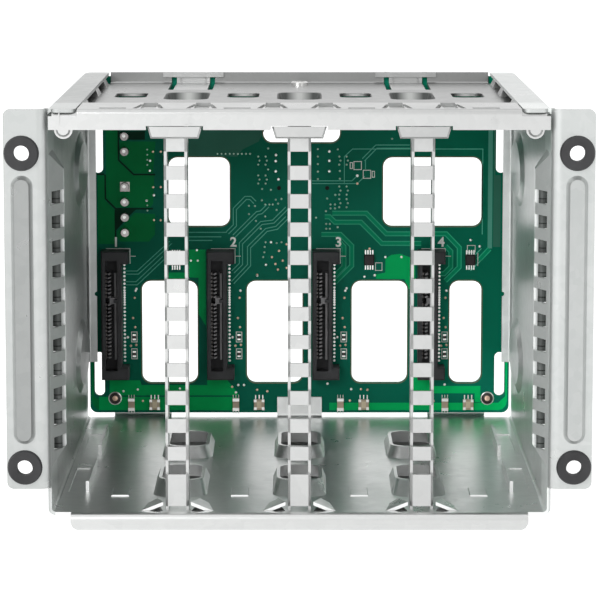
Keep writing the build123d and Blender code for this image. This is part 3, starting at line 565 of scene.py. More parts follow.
# Copper areas: the power supply behind the left post, the ground areas beside the windows, each an outline
copperAreas = {
    "maskPower": [
        [(-59.6, 97.2), (-59.6, 91.1), (-54.9, 86.6), (-48.6, 86.6), (-47.7, 97.2)],
        [(-64.9, 100.8), (-64.2, 100.8), (-64.2, 78.4), (-61.0, 75.2), (-49.6, 75.2), (-48.6, 76.5), (-48.2, 85.9),
         (-55.2, 85.9), (-60.3, 90.8), (-60.3, 100.8), (-64.9, 108.0)],
        [(-67.0, 63.0), (-61.5, 63.0), (-61.5, 74.5), (-64.7, 77.8), (-64.7, 85.9), (-67.0, 85.9)],
        [(-69.5, 26.0), (-69.5, 10.0), (-69.2, 8.6), (-68.0, 7.3), (-67.2, 7.0), (-67.2, 10.4), (-68.9, 11.6),
         (-68.9, 26.0)],
        [(-54.8, 73.4), (-60.7, 67.2), (-60.7, 65.3), (-59.6, 63.8), (-50.1, 63.8), (-48.1, 66.1), (-48.0, 73.0)],
    ],
    "maskLeaf": [
        [(-36.9, 61.1), (-31.3, 61.1), (-31.3, 35.5), (-33.7, 39.5), (-33.7, 51.6), (-36.9, 51.8)],
        [(-44.6, 53.4), (-37.4, 53.4), (-37.4, 51.0), (-44.6, 51.0)],
        [(28.6, 58.0), (30.6, 59.4), (33.6, 59.7), (36.6, 58.6), (38.6, 58.6), (38.6, 47.9), (36.3, 47.9),
         (35.0, 51.2), (25.5, 51.3), (25.5, 52.8), (28.6, 53.4)],
        [(-63.6, 17.0), (-53.4, 17.0), (-52.9, 15.4), (-30.9, 15.4), (-30.9, 17.6), (-24.6, 17.6), (-20.6, 12.6),
         (-20.6, 11.9), (-63.6, 11.9)],
        [(-67.2, 11.4), (-67.2, 6.9), (-20.6, 6.9), (-20.6, 11.4)],
        [(10.0, 9.4), (10.0, 6.9), (66.6, 6.9), (66.6, 9.4)],
        [(66.6, 9.4), (66.6, 6.9), (68.0, 7.2), (69.2, 8.6), (69.5, 10.0), (69.5, 26.0), (68.9, 26.0), (68.9, 11.6)],
        [(37.9, 18.0), (44.4, 18.0), (44.4, 15.1), (60.6, 15.1), (60.6, 9.6), (58.7, 9.6), (58.7, 12.6),
         (37.9, 12.6)],
    ],
    "maskGap": [
        [(-61.0, 74.6), (-54.2, 74.6), (-55.2, 73.8), (-60.95, 67.6)],
        [(-59.6, 100.6), (-51.2, 100.6), (-51.2, 97.8), (-59.6, 97.8)],
    ],
    "maskDusk": [
        [(-37.6, 92.2), (-37.6, 111.5), (-11.6, 111.5), (-11.6, 101.0), (-13.5, 97.2), (-18.8, 94.6), (-20.6, 92.2)],
        [(64.4, 108.0), (65.0, 108.0), (65.0, 86.0), (66.9, 86.0), (66.9, 62.0), (64.4, 62.0)],
    ],
    "maskRail": [
        [(62.6, 108.0), (64.1, 108.0), (64.1, 61.5), (62.6, 61.5)],
    ],
}
for finish, outlines in copperAreas.items():
    platePiece(finish.replace("mask", "copper"), outlines, "copper", finish)
print("stage 5: copper areas")

# Traces: fine pairs and wide bundles under the mask, each given as its corner points
traceSetup = {
    "gapWidth": 0.55, "lineWidth": 0.28, "pairSpacing": 1.05, "bandWidth": 1.7, "edgeWidth": 0.3, "edgeInset": 0.2,
}
finePairs = [
    [(-58.0, 53.4), (-53.9, 53.4), (-42.8, 63.6)],
    [(-57.9, 49.8), (-54.3, 49.8), (-45.2, 58.4)],
    [(-24.0, 66.7), (-21.5, 69.2), (-21.5, 74.7), (-17.9, 78.4), (-16.3, 78.4), (-14.8, 76.9)],
    [(-21.8, 65.6), (-14.1, 73.3), (-12.7, 73.6), (-10.5, 75.8)],
    [(-22.2, 53.6), (-19.5, 56.3), (-19.5, 63.2), (-12.7, 70.0), (-8.7, 70.5), (-4.2, 75.0)],
    [(-22.3, 50.0), (-16.8, 55.9), (-16.8, 61.9), (-11.0, 67.7), (-7.6, 68.4), (-4.2, 71.8)],
    [(36.6, 95.5), (25.5, 95.5), (21.2, 91.1)],
]
singleLines = [
    [(-37.2, 66.9), (-29.9, 66.9), (-24.2, 66.9)],
    [(-37.2, 65.4), (-26.0, 65.4)],
    [(-37.2, 64.2), (-29.0, 64.2)],
    [(4.2, 84.1), (17.4, 84.1), (19.2, 85.8)],
    [(4.2, 83.2), (19.2, 83.2), (21.7, 85.7)],
    [(21.9, 91.0), (21.9, 88.0)],
    [(14.9, 83.5), (14.9, 92.2), (17.6, 94.7), (37.5, 94.7)],
    [(44.8, 94.7), (60.8, 94.7), (60.8, 66.2)],
    [(60.6, 61.5), (57.8, 58.7)],
    [(60.6, 57.6), (57.0, 54.0)],
]
gapLines = [
    [(-60.0, 100.7), (-60.0, 91.0), (-55.0, 86.2), (-47.9, 86.2)],
    [(-64.5, 86.2), (-64.5, 78.2), (-61.1, 74.8), (-48.7, 74.8)],
    [(-61.2, 74.5), (-61.2, 65.0)],
    [(-67.2, 86.3), (-64.8, 86.3)],
]
wideBands = [
    [(10.9, 73.3), (22.2, 73.3), (28.9, 66.4), (48.8, 66.4), (53.2, 61.8), (53.2, 55.2), (48.6, 50.6)],
    [(8.4, 72.1), (10.0, 72.1), (11.8, 70.3), (20.4, 70.3), (27.4, 63.2), (40.5, 63.2)],
    [(7.3, 66.2), (13.6, 66.2), (17.4, 62.4), (17.4, 55.7), (11.8, 50.0)],
    [(46.4, 53.0), (48.2, 53.0), (50.4, 55.3), (50.4, 60.5), (48.6, 62.3)],
    [(13.2, 63.8), (14.8, 62.1), (14.8, 55.4), (12.2, 52.8), (10.6, 52.8)],
    [(63.3, 61.4), (59.6, 57.4)],
]


def ribbons(paths, width, apart=None):
    # One ribbon on each path, or two of them at a distance
    shifts = (0.0,) if apart is None else (-apart / 2, apart / 2)
    return [ribbonOutline(points, width, shift) for points in paths for shift in shifts]


def buildTraces():
    line, band = traceSetup["lineWidth"], traceSetup["bandWidth"]
    fine = ribbons(finePairs, line, traceSetup["pairSpacing"]) + ribbons(singleLines, line)
    platePiece("fineTraces", fine, "trace", "maskLine")
    platePiece("gapLines", ribbons(gapLines, traceSetup["gapWidth"]), "trace", "maskGap")
    platePiece("traceBands", ribbons(wideBands, band), "copper", "maskBand")
    edges = ribbons(wideBands, traceSetup["edgeWidth"], band - 2 * traceSetup["edgeInset"])
    platePiece("bundleLines", edges, "trace", "bandEdge")


buildTraces()
print("stage 6: traces")


# Node trees that stamp one small shape on every place
def startTree(name, inputs):
    tree = bpy.data.node_groups.new(name, "GeometryNodeTree")
    tree.interface.new_socket("Places", in_out="INPUT", socket_type="NodeSocketGeometry")
    sockets = {
        label: tree.interface.new_socket(label, in_out="INPUT", socket_type="NodeSocket" + kind).identifier
        for label, kind in inputs.items()
    }
    tree.interface.new_socket("Stamped", in_out="OUTPUT", socket_type="NodeSocketGeometry")
    return tree, tree.nodes.new("NodeGroupInput"), sockets


def endTree(tree, given, shape, finish, turn=None):
    # Stamps the shape on the places, makes it real and gives it its finish
    nodes, links = tree.nodes, tree.links
    stamped = nodes.new("GeometryNodeInstanceOnPoints")
    real = nodes.new("GeometryNodeRealizeInstances")
    coated = nodes.new("GeometryNodeSetMaterial")
    result = nodes.new("NodeGroupOutput")
    coated.inputs["Material"].default_value = finishes[finish]
    links.new(given.outputs["Places"], stamped.inputs["Points"])
    links.new(shape, stamped.inputs["Instance"])
    if turn is not None:
        links.new(turn, stamped.inputs["Rotation"])
    links.new(stamped.outputs["Instances"], real.inputs["Geometry"])
    links.new(real.outputs["Geometry"], coated.inputs["Geometry"])
    links.new(coated.outputs["Geometry"], result.inputs["Stamped"])


def treePiece(name, places, tree, values, smooth=False):
    # Runs a tree on bare points and keeps the result as a plain mesh
    seedMesh = bpy.data.meshes.new(name + "Places")
    seedMesh.from_pydata([[value * mm for value in place] for place in places], [], [])
    carrier = bpy.data.objects.new(name + "Places", seedMesh)
    bpy.context.scene.collection.objects.link(carrier)
    modifier = carrier.modifiers.new("stamp", "NODES")
    modifier.node_group = tree
    for identifier, value in values.items():
        modifier[identifier] = value
    evaluated = carrier.evaluated_get(bpy.context.evaluated_depsgraph_get())
    mesh = bpy.data.meshes.new_from_object(evaluated)
    carrier.modifiers.remove(modifier)
    bpy.data.objects.remove(carrier)
    mesh.name = name
    if smooth:
        mesh.shade_smooth()
    placePiece(name, mesh)


# Round pads, vias and solder ends: a small truncated cone on the board's front
coneSetup = {"sides": 10, "topShare": 0.6}


def coneTree(name, finish):
    inputs = {"Radius": "Float", "Top Radius": "Float", "Height": "Float", "Sides": "Int"}
    tree, given, sockets = startTree(name, inputs)
    cone = tree.nodes.new("GeometryNodeMeshCone")
    turned = tree.nodes.new("GeometryNodeTransform")
    turned.inputs["Rotation"].default_value = (math.pi / 2, 0.0, 0.0)
    for label, target in zip(inputs, ("Radius Bottom", "Radius Top", "Depth", "Vertices")):
        tree.links.new(given.outputs[label], cone.inputs[target])
    tree.links.new(cone.outputs["Mesh"], turned.inputs["Geometry"])
    endTree(tree, given, turned.outputs["Geometry"], finish)
    return tree, sockets


def conePiece(name, places, radius, height, finish, slot="contact_metal", topShare=coneSetup["topShare"],
              sides=coneSetup["sides"], smooth=True):
    tree, sockets = coneTree(name + "Tree", finish)
    values = {
        sockets["Radius"]: radius * mm,
        sockets["Top Radius"]: radius * topShare * mm,
        sockets["Height"]: height * mm,
        sockets["Sides"]: sides,
    }
    points = [(x, boardPlane + layerSetup["sink"], z) for x, z in places]
    treePiece(name, points, tree, values, smooth)


def column(x, top, pitch, count):
    return [(x, top - pitch * index) for index in range(count)]


# Via field of the data connector, the same on both sides of the middle post
viaSetup = {"zigzag": 0.4, "rowPitch": 1.35, "rows": 3, "columnGap": 2.45}
viaGroups = [(-13.7, 92.2), (-13.7, 85.9), (13.2, 92.2), (13.2, 82.2), (13.2, 78.0)]
# Columns by place, top, pitch and count, and one row
viaColumns = [(6.1, 94.7, 2.5, 5), (-50.5, 94.5, 1.7, 4), (-50.6, 77.6, 1.7, 3)]
viaRow = {"start": -27.2, "level": 93.1, "count": 9}
smallVias = [
    (-10.4, 94.9), (-10.4, 87.9), (-12.4, 81.4), (-9.5, 81.1), (-12.5, 77.6), (-7.9, 77.8), (-6.0, 78.1),
    (-16.8, 75.8), (-14.8, 75.7), (-11.4, 76.2), (-10.0, 76.2), (-8.9, 76.2), (-7.1, 76.5), (-7.6, 74.4),
    (-16.8, 73.0), (-11.4, 72.2), (-14.5, 70.7), (-12.9, 68.1), (-11.3, 63.6), (-7.6, 63.3), (-6.0, 63.6),
    (-11.6, 62.0), (-11.7, 60.2), (-12.1, 58.6), (12.7, 94.6), (13.4, 87.4), (13.4, 84.8), (9.2, 78.2),
    (11.9, 79.4), (10.3, 76.2), (11.8, 76.2), (10.3, 74.9), (11.8, 74.9), (8.8, 74.0), (5.5, 71.8), (8.9, 69.7),
    (10.1, 69.7), (8.9, 68.1), (10.1, 68.1), (12.7, 68.6), (30.7, 98.1),
]
paleVias = [
    (-7.8, 92.7), (-7.9, 90.7), (-7.9, 87.3), (-7.0, 84.6), (9.9, 93.9), (9.9, 90.8), (9.9, 87.3), (-49.6, 90.8),
    (-49.7, 87.5), (-48.4, 79.3), (-50.8, 77.5), (19.2, 85.8),
]
whiteVias = [
    (-9.5, 63.6), (-11.2, 56.0), (-34.2, 60.9), (-36.2, 57.4), (-33.9, 57.4), (-54.4, 47.9), (28.6, 58.6),
    (34.0, 58.6), (21.7, 52.0), (25.1, 52.5), (60.0, 62.2), (57.0, 64.3), (15.7, 48.1), (-54.2, 13.9),
    (-59.0, 13.3), (-40.1, 14.2), (-20.5, 15.4), (-18.6, 15.4), (-21.3, 12.9), (9.4, 15.9), (17.3, 14.0),
    (48.6, 15.6), (-14.1, 52.4),
]
tanVias = [
    (-9.2, 58.6), (-5.6, 57.4), (-8.0, 56.3), (-7.2, 54.4), (-6.8, 60.7), (-4.3, 55.0), (-4.3, 62.9),
    (-14.1, 52.6), (19.2, 83.2), (23.3, 61.4), (-48.6, 93.8), (-46.0, 93.8), (-48.6, 82.0), (-46.1, 82.0),
    (-48.4, 71.0), (-46.2, 71.0), (-52.5, 10.0), (-22.6, 14.8), (-14.2, 13.8), (-10.8, 13.3), (20.6, 14.0),
    (22.8, 13.8), (16.9, 10.1), (44.9, 10.0),
]
# Key holes: black discs as painted shade inside them
keyHoles = [(-6.8, 81.7), (9.2, 81.7)]
viaSizes = {
    "smallVias": {"radius": 0.4, "height": 0.1, "finish": "viaFilm"},
    "paleVias": {"radius": 0.55, "height": 0.1, "finish": "tinned"},
    "whiteVias": {"radius": 0.52, "height": 0.1, "finish": "tinned"},
    "tanVias": {"radius": 0.5, "height": 0.1, "finish": "copperPad"},
    "keyHoles": {"radius": 0.8, "height": 0.06, "finish": "paintedBlackShade", "slot": "circuit_board"},
}
# The same small places beside every drive connector, closer at the fourth
besideSetup = {
    "white": ((6.5, 47.3), (3.8, 31.6)),
    "tan": ((6.2, 44.9), (5.6, 38.1), (6.3, 35.0), (6.6, 29.0), (4.8, 28.7)),
    "packs": ((6.0, 26.0), (6.0, 31.7)),
    "closer": {4: 1.3},
}


def besideConnectors(label):
    return [(connectorX(number) + x - besideSetup["closer"].get(number, 0.0), z)
            for number in connectorNumbers for x, z in besideSetup[label]]


def viaField():
    places = smallVias + [place for row in viaColumns for place in column(*row)]
    places += [(viaRow["start"] + viaSetup["rowPitch"] * step, viaRow["level"]) for step in range(viaRow["count"])]
    for x, top in viaGroups:
        for offset in (0.0, viaSetup["columnGap"]):
            for row in range(viaSetup["rows"]):
                shift = viaSetup["zigzag"] * (row % 2)
                places.append((x + offset + shift, top - row * viaSetup["rowPitch"]))
    return places


viaPlaces = {
    "smallVias": viaField(),
    "paleVias": paleVias,
    "whiteVias": whiteVias + besideConnectors("white"),
    "tanVias": tanVias + besideConnectors("tan"),
    "keyHoles": keyHoles,
}
for name, places in viaPlaces.items():
    conePiece(name, places, **viaSizes[name])
print("stage 7: vias")

# Solder ends of the drive connectors: two groups of power and data tails and a finer one between,
# each given by its top, pitch and count
tailSide = 2.85  # from the middle of the connector
tailRows = ((56.0, 1.27, 7), (47.4, 0.8, 7), (41.5, 1.27, 15))
tailCone = {"radius": 0.45, "height": 0.14, "finish": "tinned", "topShare": 0.85, "sides": 8, "smooth": False}
tails = [place for number in connectorNumbers for row in tailRows
         for place in column(connectorX(number) + tailSide, *row)]
conePiece("connectorTails", tails, **tailCone)

# Solder cones of the two power connectors, each with a bright crown a little off its middle
jointSetup = {"pins": 4, "pitch": 5.08, "squarePad": 3.2, "crownShift": (-0.15, 0.2)}
jointCone = {"radius": 1.55, "height": 1.9, "finish": "solder", "topShare": 0.86, "sides": 20, "smooth": False}
crownCone = {"radius": 0.8, "height": 2.1, "finish": "tinned", "topShare": 0.7, "smooth": False}


def powerJoints():
    pins, pitch = jointSetup["pins"], jointSetup["pitch"]
    places = []
    for node in ("power_pins_lower", "power_pins_upper"):
        x, y, z = boxMiddle(node)
        places += [(x, z + (index - (pins - 1) / 2) * pitch) for index in range(pins)]
    return places


def buildJoints():
    joints = powerJoints()
    aside, above = jointSetup["crownShift"]
    conePiece("powerJoints", joints, **jointCone)
    conePiece("jointCrowns", [(x + aside, z + above) for x, z in joints], **crownCone)
    lastPin = joints[jointSetup["pins"] - 1]  # uppermost of the lower connector
    platePiece("powerPads", [boxOutline(*lastPin, jointSetup["squarePad"], jointSetup["squarePad"])], "pad", "solder")


buildJoints()
print("stage 8: solder")

# Plain figures 1 to 4: printed above the connectors, and faintly raised on the front bar
numberSetup = {
    "boardNumbers": {"height": 3.1, "depth": 0.12, "stroke": 0.12, "level": 63.5, "shifts": (0.1, 4.2, 4.2, 3.4)},
    "barNumbers": {"height": 3.4, "depth": 0.5, "stroke": -0.05, "level": 117.3, "across": (-67.3, -31.2, 18.9, 54.8)},
}
capShare = 0.7  # height of a figure as a share of its font's size


def numberPiece(name, across, plane, finish):
    # Upright figures facing the front, standing on a plane
    look = numberSetup[name]
    shape = bmesh.new()
    for number, x in enumerate(across, 1):
        text = str(number)
        curve = bpy.data.curves.new(name + text, "FONT")
        curve.body = text
        curve.align_x = "CENTER"
        curve.align_y = "CENTER"
        curve.size = look["height"] / capShare * mm
        curve.extrude = look["depth"] / 2 * mm
        curve.offset = look["stroke"] * mm
        holder = bpy.data.objects.new(name + text, curve)
        mesh = bpy.data.meshes.new_from_object(holder)
        place = Matrix.Translation((x * mm, plane, look["level"] * mm))
        mesh.transform(place @ Matrix.Rotation(math.pi / 2, 4, "X"))
        shape.from_mesh(mesh)
        bpy.data.objects.remove(holder)
    bmesh.ops.remove_doubles(shape, verts=shape.verts, dist=1e-7)
    shapePiece(name, shape, finish)


aboveConnectors = [connectorX(number) + shift
                   for number, shift in zip(connectorNumbers, numberSetup["boardNumbers"]["shifts"])]
numberPiece("boardNumbers", aboveConnectors, boardFront, "printInk")
numberPiece("barNumbers", numberSetup["barNumbers"]["across"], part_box("top_plate")[0][1], "topZinc")

# Printed marks: boxes (x, z, width, height) round small parts, and lines at the head of each connector
markSetup = {
    "line": 0.22, "edge": 4.75, "headWidth": 8.0, "headLevel": 61.45, "foot": 56.4, "tickLevel": 58.9, "tick": 1.9,
}
partFrames = [(19.3, 89.2, 2.7, 2.9), (22.4, 86.3, 2.7, 2.9), (17.2, 89.2, 1.0, 2.2), (24.5, 86.3, 1.0, 2.2),
              (26.4, 55.4, 2.4, 2.8), (57.2, 61.4, 2.8, 2.4)]
loneMark = [(59.4, 60.0), (59.4, 55.6)]


def buildMarks():
    line = markSetup["line"]
    outlines = [strip for place in partFrames for strip in frameOutlines(*place, line)]
    paths = [loneMark]
    for number in connectorNumbers:
        edge = connectorX(number) + markSetup["edge"]
        head, tick = markSetup["headLevel"], markSetup["tickLevel"]
        paths.append([(edge - markSetup["headWidth"], head), (edge, head), (edge, markSetup["foot"])])
        paths.append([(edge, tick), (edge + markSetup["tick"], tick)])
    platePiece("boardMarks", outlines + ribbons(paths, line), "mark", "printInk")


buildMarks()


def roundedLoop(x, low, high, half, corner, steps=5):
    # Points (across, along) of a rounded rectangle round x, from low to high
    points = []
    for cornerX, cornerY, start in ((1, 1, 0.0), (-1, 1, 0.5), (-1, -1, 1.0), (1, -1, 1.5)):
        middleX = x + cornerX * (half - corner)
        middleY = (high if cornerY > 0 else low) - cornerY * corner
        for step in range(steps + 1):
            angle = math.pi * (start + 0.5 * step / steps)
            points.append((middleX + corner * math.cos(angle), middleY + corner * math.sin(angle)))
    return points


def addRing(shape, loops):
    # Closed ring between four loops of (x, y, z) points in mm, each joined to the next
    rows = [[shape.verts.new([value * mm for value in point]) for point in loop] for loop in loops]
    for index, row in enumerate(rows):
        following = rows[(index + 1) % len(rows)]
        for spot in range(len(row)):
            after = (spot + 1) % len(row)
            shape.faces.new((row[spot], row[after], following[after], following[spot]))


# Bare laminate rims of the board's windows; each window as (middle, half width, low, high)
rimSetup = {"width": 0.4, "corner": 3.0, "clear": 0.02}
lowWindows = {"low": 16.3, "high": 50.6, "shift": 17.9, "half": 9.25, "lastShift": 11.6, "lastHalf": 5.3}
highWindows = {"below": (51.2, 28.3), "left": (-33.35, 10.15), "right": (44.15, 16.35)}
topWindow = {"below": (23.3, 9.2), "middle": (0.7, 12.7)}


def boardWindows():
    levels = (lowWindows["low"], lowWindows["high"])
    for number in connectorNumbers[:3]:
        yield connectorX(number) + lowWindows["shift"], lowWindows["half"], *levels
    yield connectorX(4) + lowWindows["lastShift"], lowWindows["lastHalf"], *levels
    for side in ("left", "right"):
        yield *highWindows[side], *(cageTop - drop for drop in highWindows["below"])
    yield *topWindow["middle"], *(cageTop - drop for drop in topWindow["below"])


def buildRims():
    shape = bmesh.new()
    front, back = boardPlane - layerSetup["trace"], boardPlane + layerSetup["sink"]
    inner, outer = rimSetup["clear"], rimSetup["width"]
    for x, half, low, high in boardWindows():
        loops = []
        for grow, y in ((inner, front), (outer, front), (outer, back), (inner, back)):
            flat = roundedLoop(x, low - grow, high + grow, half + grow, rimSetup["corner"] + grow)
            loops.append([(across, y, along) for across, along in flat])
        addRing(shape, loops)
    shapePiece("windowRims", shape, "laminate")


buildRims()
print("stage 9: printed marks and window rims")


# Blocks stamped in rows: contact combs in the drive connectors, chip leads and part ends
def blockPiece(name, places, size, finish, turn=0.0):
    # Blocks of (x, y, z) size at (x, y, z) places, turned about Y
    tree, given, sockets = startTree(name + "Tree", {"Size": "Vector", "Turn": "Vector"})
    block = tree.nodes.new("GeometryNodeMeshCube")
    tree.links.new(given.outputs["Size"], block.inputs["Size"])
    endTree(tree, given, block.outputs["Mesh"], finish, given.outputs["Turn"])
    values = {sockets["Size"]: [side * mm for side in size], sockets["Turn"]: (0.0, turn, 0.0)}
    treePiece(name, places, tree, values)


def around(places, across, up, y):
    # Places (x, z) moved by every pair of offsets, all at one depth
    return [(x + aside, y, z + above) for x, z in places for aside in across for above in up]


# Combs: x is from the middle of the connector, shift and cut change the depth between front and rear;
# a comb without a level stands at every contact
combSetup = {
    "front": 66.1, "rear": 71.4, "contactEnd": 0.4, "contactPitch": 1.27, "dataContacts": 7, "powerContacts": 15,
}
combShapes = {
    "combTeeth": {"x": -1.75, "shift": 0.0, "cut": 0.0, "width": 1.0, "height": 0.5, "turn": -18.0},
    "combRibs": {"x": 0.15, "shift": 0.6, "cut": 1.2, "width": 0.7, "height": 29.0, "turn": 0.0, "level": 39.5},
    "combKeys": {"x": -0.85, "shift": -0.4, "cut": 0.6, "width": 1.7, "height": 2.0, "turn": 0.0, "level": 44.9},
}


def contactLevels(number):
    low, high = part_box("drive_contacts_%d" % number)
    end, pitch = combSetup["contactEnd"], combSetup["contactPitch"]
    levels = [high[2] / mm - end - pitch * step for step in range(combSetup["dataContacts"])]
    return levels + [low[2] / mm + end + pitch * step for step in range(combSetup["powerContacts"])]


def buildCombs():
    middle = (combSetup["front"] + combSetup["rear"]) / 2
    depth = combSetup["rear"] - combSetup["front"]
    for name, comb in combShapes.items():
        places = []
        for number in connectorNumbers:
            levels = [comb["level"]] if "level" in comb else contactLevels(number)
            places += [(connectorX(number) + comb["x"], middle + comb["shift"], level) for level in levels]
        size = (comb["width"], depth - comb["cut"], comb["height"])
        blockPiece(name, places, size, "combPlastic", math.radians(comb["turn"]))


buildCombs()

# Chip leads in rows of four above and below each chip; pale ends and printed boxes of the resistor packs
chipPlaces = [(-41.1, 57.7), (23.2, 57.7), (56.9, 57.7)]
leadSetup = {"across": (-1.2, -0.4, 0.4, 1.2), "up": (-2.5, 2.5), "stand": 0.15, "size": (0.4, 0.35, 1.6)}
packSetup = {"up": (-0.75, 0.75), "endSize": (1.1, 0.3, 0.55), "frame": (2.1, 3.6, 0.24)}


def buildLeads():
    leads = around(chipPlaces, leadSetup["across"], leadSetup["up"], boardPlane - leadSetup["stand"])
    blockPiece("chipLeads", leads, leadSetup["size"], "tinned")
    places = besideConnectors("packs")
    ends = around(places, (0.0,), packSetup["up"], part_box("resistor_packs")[0][1] / mm)
    blockPiece("packEnds", ends, packSetup["endSize"], "tinned")
    frames = [strip for x, z in places for strip in frameOutlines(x, z, *packSetup["frame"])]
    platePiece("packFrames", frames, "mark", "printInk")


buildLeads()

# Lamps beside each bay's middle: pale ends, a clear window, feet and printed strokes round them; each set of
# blocks has its row, its offsets across and up, the node it is on and how far its middle stands before it
lampRows = {"level": 8.9, "square": 4.0, "narrow": -3.8}
lampDetails = {
    "sideLampEnds": {
        "row": "narrow", "across": (0.0,), "up": (-1.6, 1.6), "on": "side_lamps", "stand": 0.0,
        "size": (2.2, 0.3, 1.0), "finish": "tinned", "slot": "contact_metal",
    },
    "bayLampCorners": {
        "row": "square", "across": (-1.3, 1.3), "up": (-1.3, 1.3), "on": "bay_lamps", "stand": 0.0,
        "size": (0.9, 0.3, 0.9), "finish": "tinned", "slot": "contact_metal",
    },
    "bayLampWindows": {
        "row": "square", "across": (0.0,), "up": (0.0,), "on": "bay_lamps", "stand": 0.0,
        "size": (1.5, 0.24, 2.2), "finish": "lampClear", "slot": "lamp_plastic",
    },
    "bayLampFeet": {
        "row": "square", "across": (-1.2, 0.0, 1.2), "up": (2.4,), "on": "backplane_board", "stand": 0.1,
        "size": (0.35, 0.25, 1.5), "finish": "tinned", "slot": "contact_metal",
    },
    "sideLampStrokes": {
        "row": "narrow", "across": (-0.9, 0.0, 0.9), "up": (-2.7, 2.7), "on": "backplane_board", "stand": 0.04,
        "size": (0.25, 0.12, 1.0), "finish": "printInk", "slot": "circuit_board",
    },
}


def buildLampDetails():
    for name, detail in lampDetails.items():
        places = [(bay + lampRows[detail["row"]], lampRows["level"]) for bay in bayMiddles]
        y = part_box(detail["on"])[0][1] / mm - detail["stand"]
        blocks = around(places, detail["across"], detail["up"], y)
        blockPiece(name, blocks, detail["size"], detail["finish"])


buildLampDetails()

# Round fixings at the board's lower corners
fixingPlaces = [(-61.8, 10.9), (62.9, 10.9)]
fixingDiscs = {
    "fixingRims": {"radius": 2.3, "height": 0.1, "finish": "tinned", "topShare": 0.97, "sides": 28},
    "fixingLands": {"radius": 1.95, "height": 0.14, "finish": "packCeramic", "topShare": 0.97, "sides": 28},
    "fixingCentres": {"radius": 1.15, "height": 0.2, "finish": "copperPad", "topShare": 0.7, "sides": 20},
}
for name, disc in fixingDiscs.items():
    conePiece(name, fixingPlaces, **disc)
print("stage 10: connector, chip and lamp details")

# Louvre blades in the slits of both side walls, bowed towards the front, in two leaves with a step between; the
# leaves are dark zinc as painted shade in the slits, and a black strip at the step is its painted shadow
louvreSetup = {"behindEars": 9.6, "middle": 69.45, "width": 2.9, "thickness": 0.3, "bow": 0.8, "cuts": 6}
# Height, place in the slit and finish of each
louvreLeaves = {
    "Upper": (2.35, 0.75, "shadedZinc"),
    "StepShadow": (0.35, -0.6, "paintedBlackShade"),
    "Lower": (1.25, -1.35, "shadedZinc"),
}
slitSetup = {"lowest": 24.0, "pitch": 7.06, "count": 11}


def louvreTree(finish):
    tree, given, sockets = startTree("louvreTree", {"Size": "Vector", "Bow": "Float"})
    nodes, links = tree.nodes, tree.links
    block = nodes.new("GeometryNodeMeshCube")
    block.inputs["Vertices X"].default_value = louvreSetup["cuts"]
    links.new(given.outputs["Size"], block.inputs["Size"])
    x = axisParts(nodes, links, nodes.new("GeometryNodeInputPosition").outputs["Position"])[0]
    square = mathNode(nodes, links, "MULTIPLY", x, x)
    moved = nodes.new("ShaderNodeCombineXYZ")
    links.new(mathNode(nodes, links, "MULTIPLY", square, given.outputs["Bow"]), moved.inputs["Y"])
    bent = nodes.new("GeometryNodeSetPosition")
    links.new(block.outputs["Mesh"], bent.inputs["Geometry"])
    links.new(moved.outputs[0], bent.inputs["Offset"])
    endTree(tree, given, bent.outputs["Geometry"], finish)
    return tree, sockets


def buildLouvres():
    width = louvreSetup["width"]
    y = earPlane + louvreSetup["behindEars"]
    levels = [slitSetup["lowest"] + slitSetup["pitch"] * step for step in range(slitSetup["count"])]
    bow = louvreSetup["bow"] / (width * width / 4 * mm)
    for side, wall in ((-1, "Left"), (1, "Right")):
        for label, (height, shift, finish) in louvreLeaves.items():
            tree, sockets = louvreTree(finish)
            size = (width * mm, louvreSetup["thickness"] * mm, height * mm)
            places = [(side * louvreSetup["middle"], y, level + shift) for level in levels]
            treePiece("louvre" + label + wall, places, tree, {sockets["Size"]: size, sockets["Bow"]: bow})


buildLouvres()
print("stage 11: louvres")

# Dark sheets inside the three ceiling collars and the holes between them, seen from above: painted shade where the
# inside is in shade; front and rear are from the ears, the slopes and the lean are how far the lower edge stands
# inwards
shadeSheetSetup = {"corner": 4.0, "straight": 1.9, "thickness": 0.15, "plate": 1.6}
shadeSheetPlaces = {
    "collar": {"at": postMiddles, "front": 83.2, "rear": 117.8, "half": 6.7, "drop": 3.9, "lean": 1.15,
               "slopes": (4.0, 3.4)},
    "hole": {"at": bayMiddles, "front": 94.05, "rear": 112.95, "half": 4.95, "drop": 0.7, "lean": 0.0,
             "slopes": (0.0, 0.0)},
}


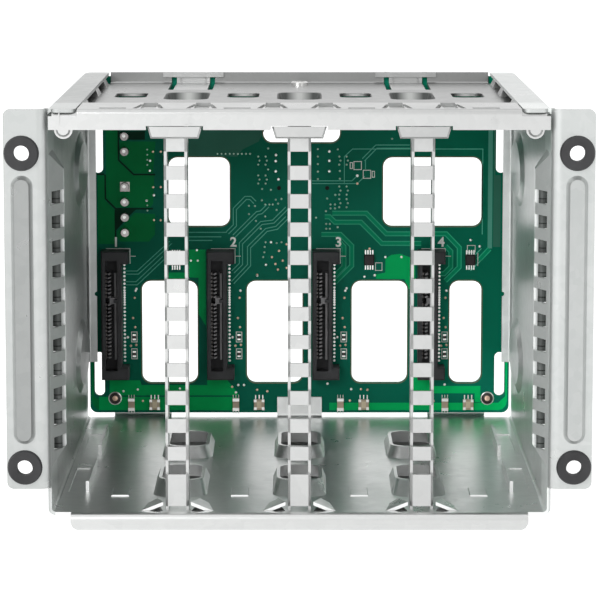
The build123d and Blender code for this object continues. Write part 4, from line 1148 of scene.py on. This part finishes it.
def addLining(shape, x, place, top):
    wall, bottom = shadeSheetSetup["thickness"], top - place["drop"]
    corner = min(shadeSheetSetup["corner"], place["half"] - shadeSheetSetup["straight"])
    loops = []
    for inset, z, low in ((0.0, top, 0.0), (0.0, bottom, 1.0), (wall, bottom, 1.0), (wall, top, 0.0)):
        front = earPlane + place["front"] + place["slopes"][0] * low + inset
        rear = earPlane + place["rear"] - place["slopes"][1] * low - inset
        flat = roundedLoop(x, front, rear, place["half"] - place["lean"] * low - inset, corner - inset)
        loops.append([(across, along, z) for across, along in flat])
    addRing(shape, loops)


def buildLinings():
    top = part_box("plate_rivet")[0][2] / mm + shadeSheetSetup["plate"]
    for label, place in shadeSheetPlaces.items():
        shape = bmesh.new()
        for x in place["at"]:
            addLining(shape, x, place, top)
        shapePiece(label + "ShadeSheets", shape, "paintedCollarShade")


buildLinings()

# Wide lip and pressed tray of each board latch, on the face of its finger
latchLook = {
    "lipWidth": 20.0, "lipHeight": 1.6, "lipDepth": 1.1, "stand": 1.3, "trayWidth": 8.0, "trayTop": 118.3,
    "trayBottom": 116.3, "rib": 0.35, "ribDepth": 0.3, "softEdge": 0.08,
}


def addBlock(shape, low, high):
    corners = [shape.verts.new([value * mm for value in (x, y, z)])
               for x in (low[0], high[0]) for y in (low[1], high[1]) for z in (low[2], high[2])]
    for face in ((0, 1, 3, 2), (4, 6, 7, 5), (0, 4, 5, 1), (2, 3, 7, 6), (0, 2, 6, 4), (1, 5, 7, 3)):
        shape.faces.new([corners[index] for index in face])


def buildLatches():
    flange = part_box("top_plate")[1][1] / mm - latchLook["stand"]
    half, tray, rib = latchLook["lipWidth"] / 2, latchLook["trayWidth"] / 2, latchLook["rib"]
    low, high = latchLook["trayBottom"], latchLook["trayTop"]
    lipFront, ribFront = flange - latchLook["lipDepth"], flange - latchLook["ribDepth"]
    for body, name in (("latch_left", "latchLipLeft"), ("latch_right", "latchLipRight")):
        x = boxMiddle("board_" + body)[0]
        shape = bmesh.new()
        addBlock(shape, (x - half, lipFront, cageTop - latchLook["lipHeight"]), (x + half, flange, cageTop))
        for side in (x - tray, x + tray):
            addBlock(shape, (side - rib / 2, ribFront, low), (side + rib / 2, flange, high))
        addBlock(shape, (x - tray, ribFront, low - rib), (x + tray, flange, low))
        bmesh.ops.bevel(shape, geom=shape.edges[:], offset=latchLook["softEdge"] * mm, segments=1, affect="EDGES")
        shapePiece(name, shape, "zinc", body)


buildLatches()
print("stage 12: latches")
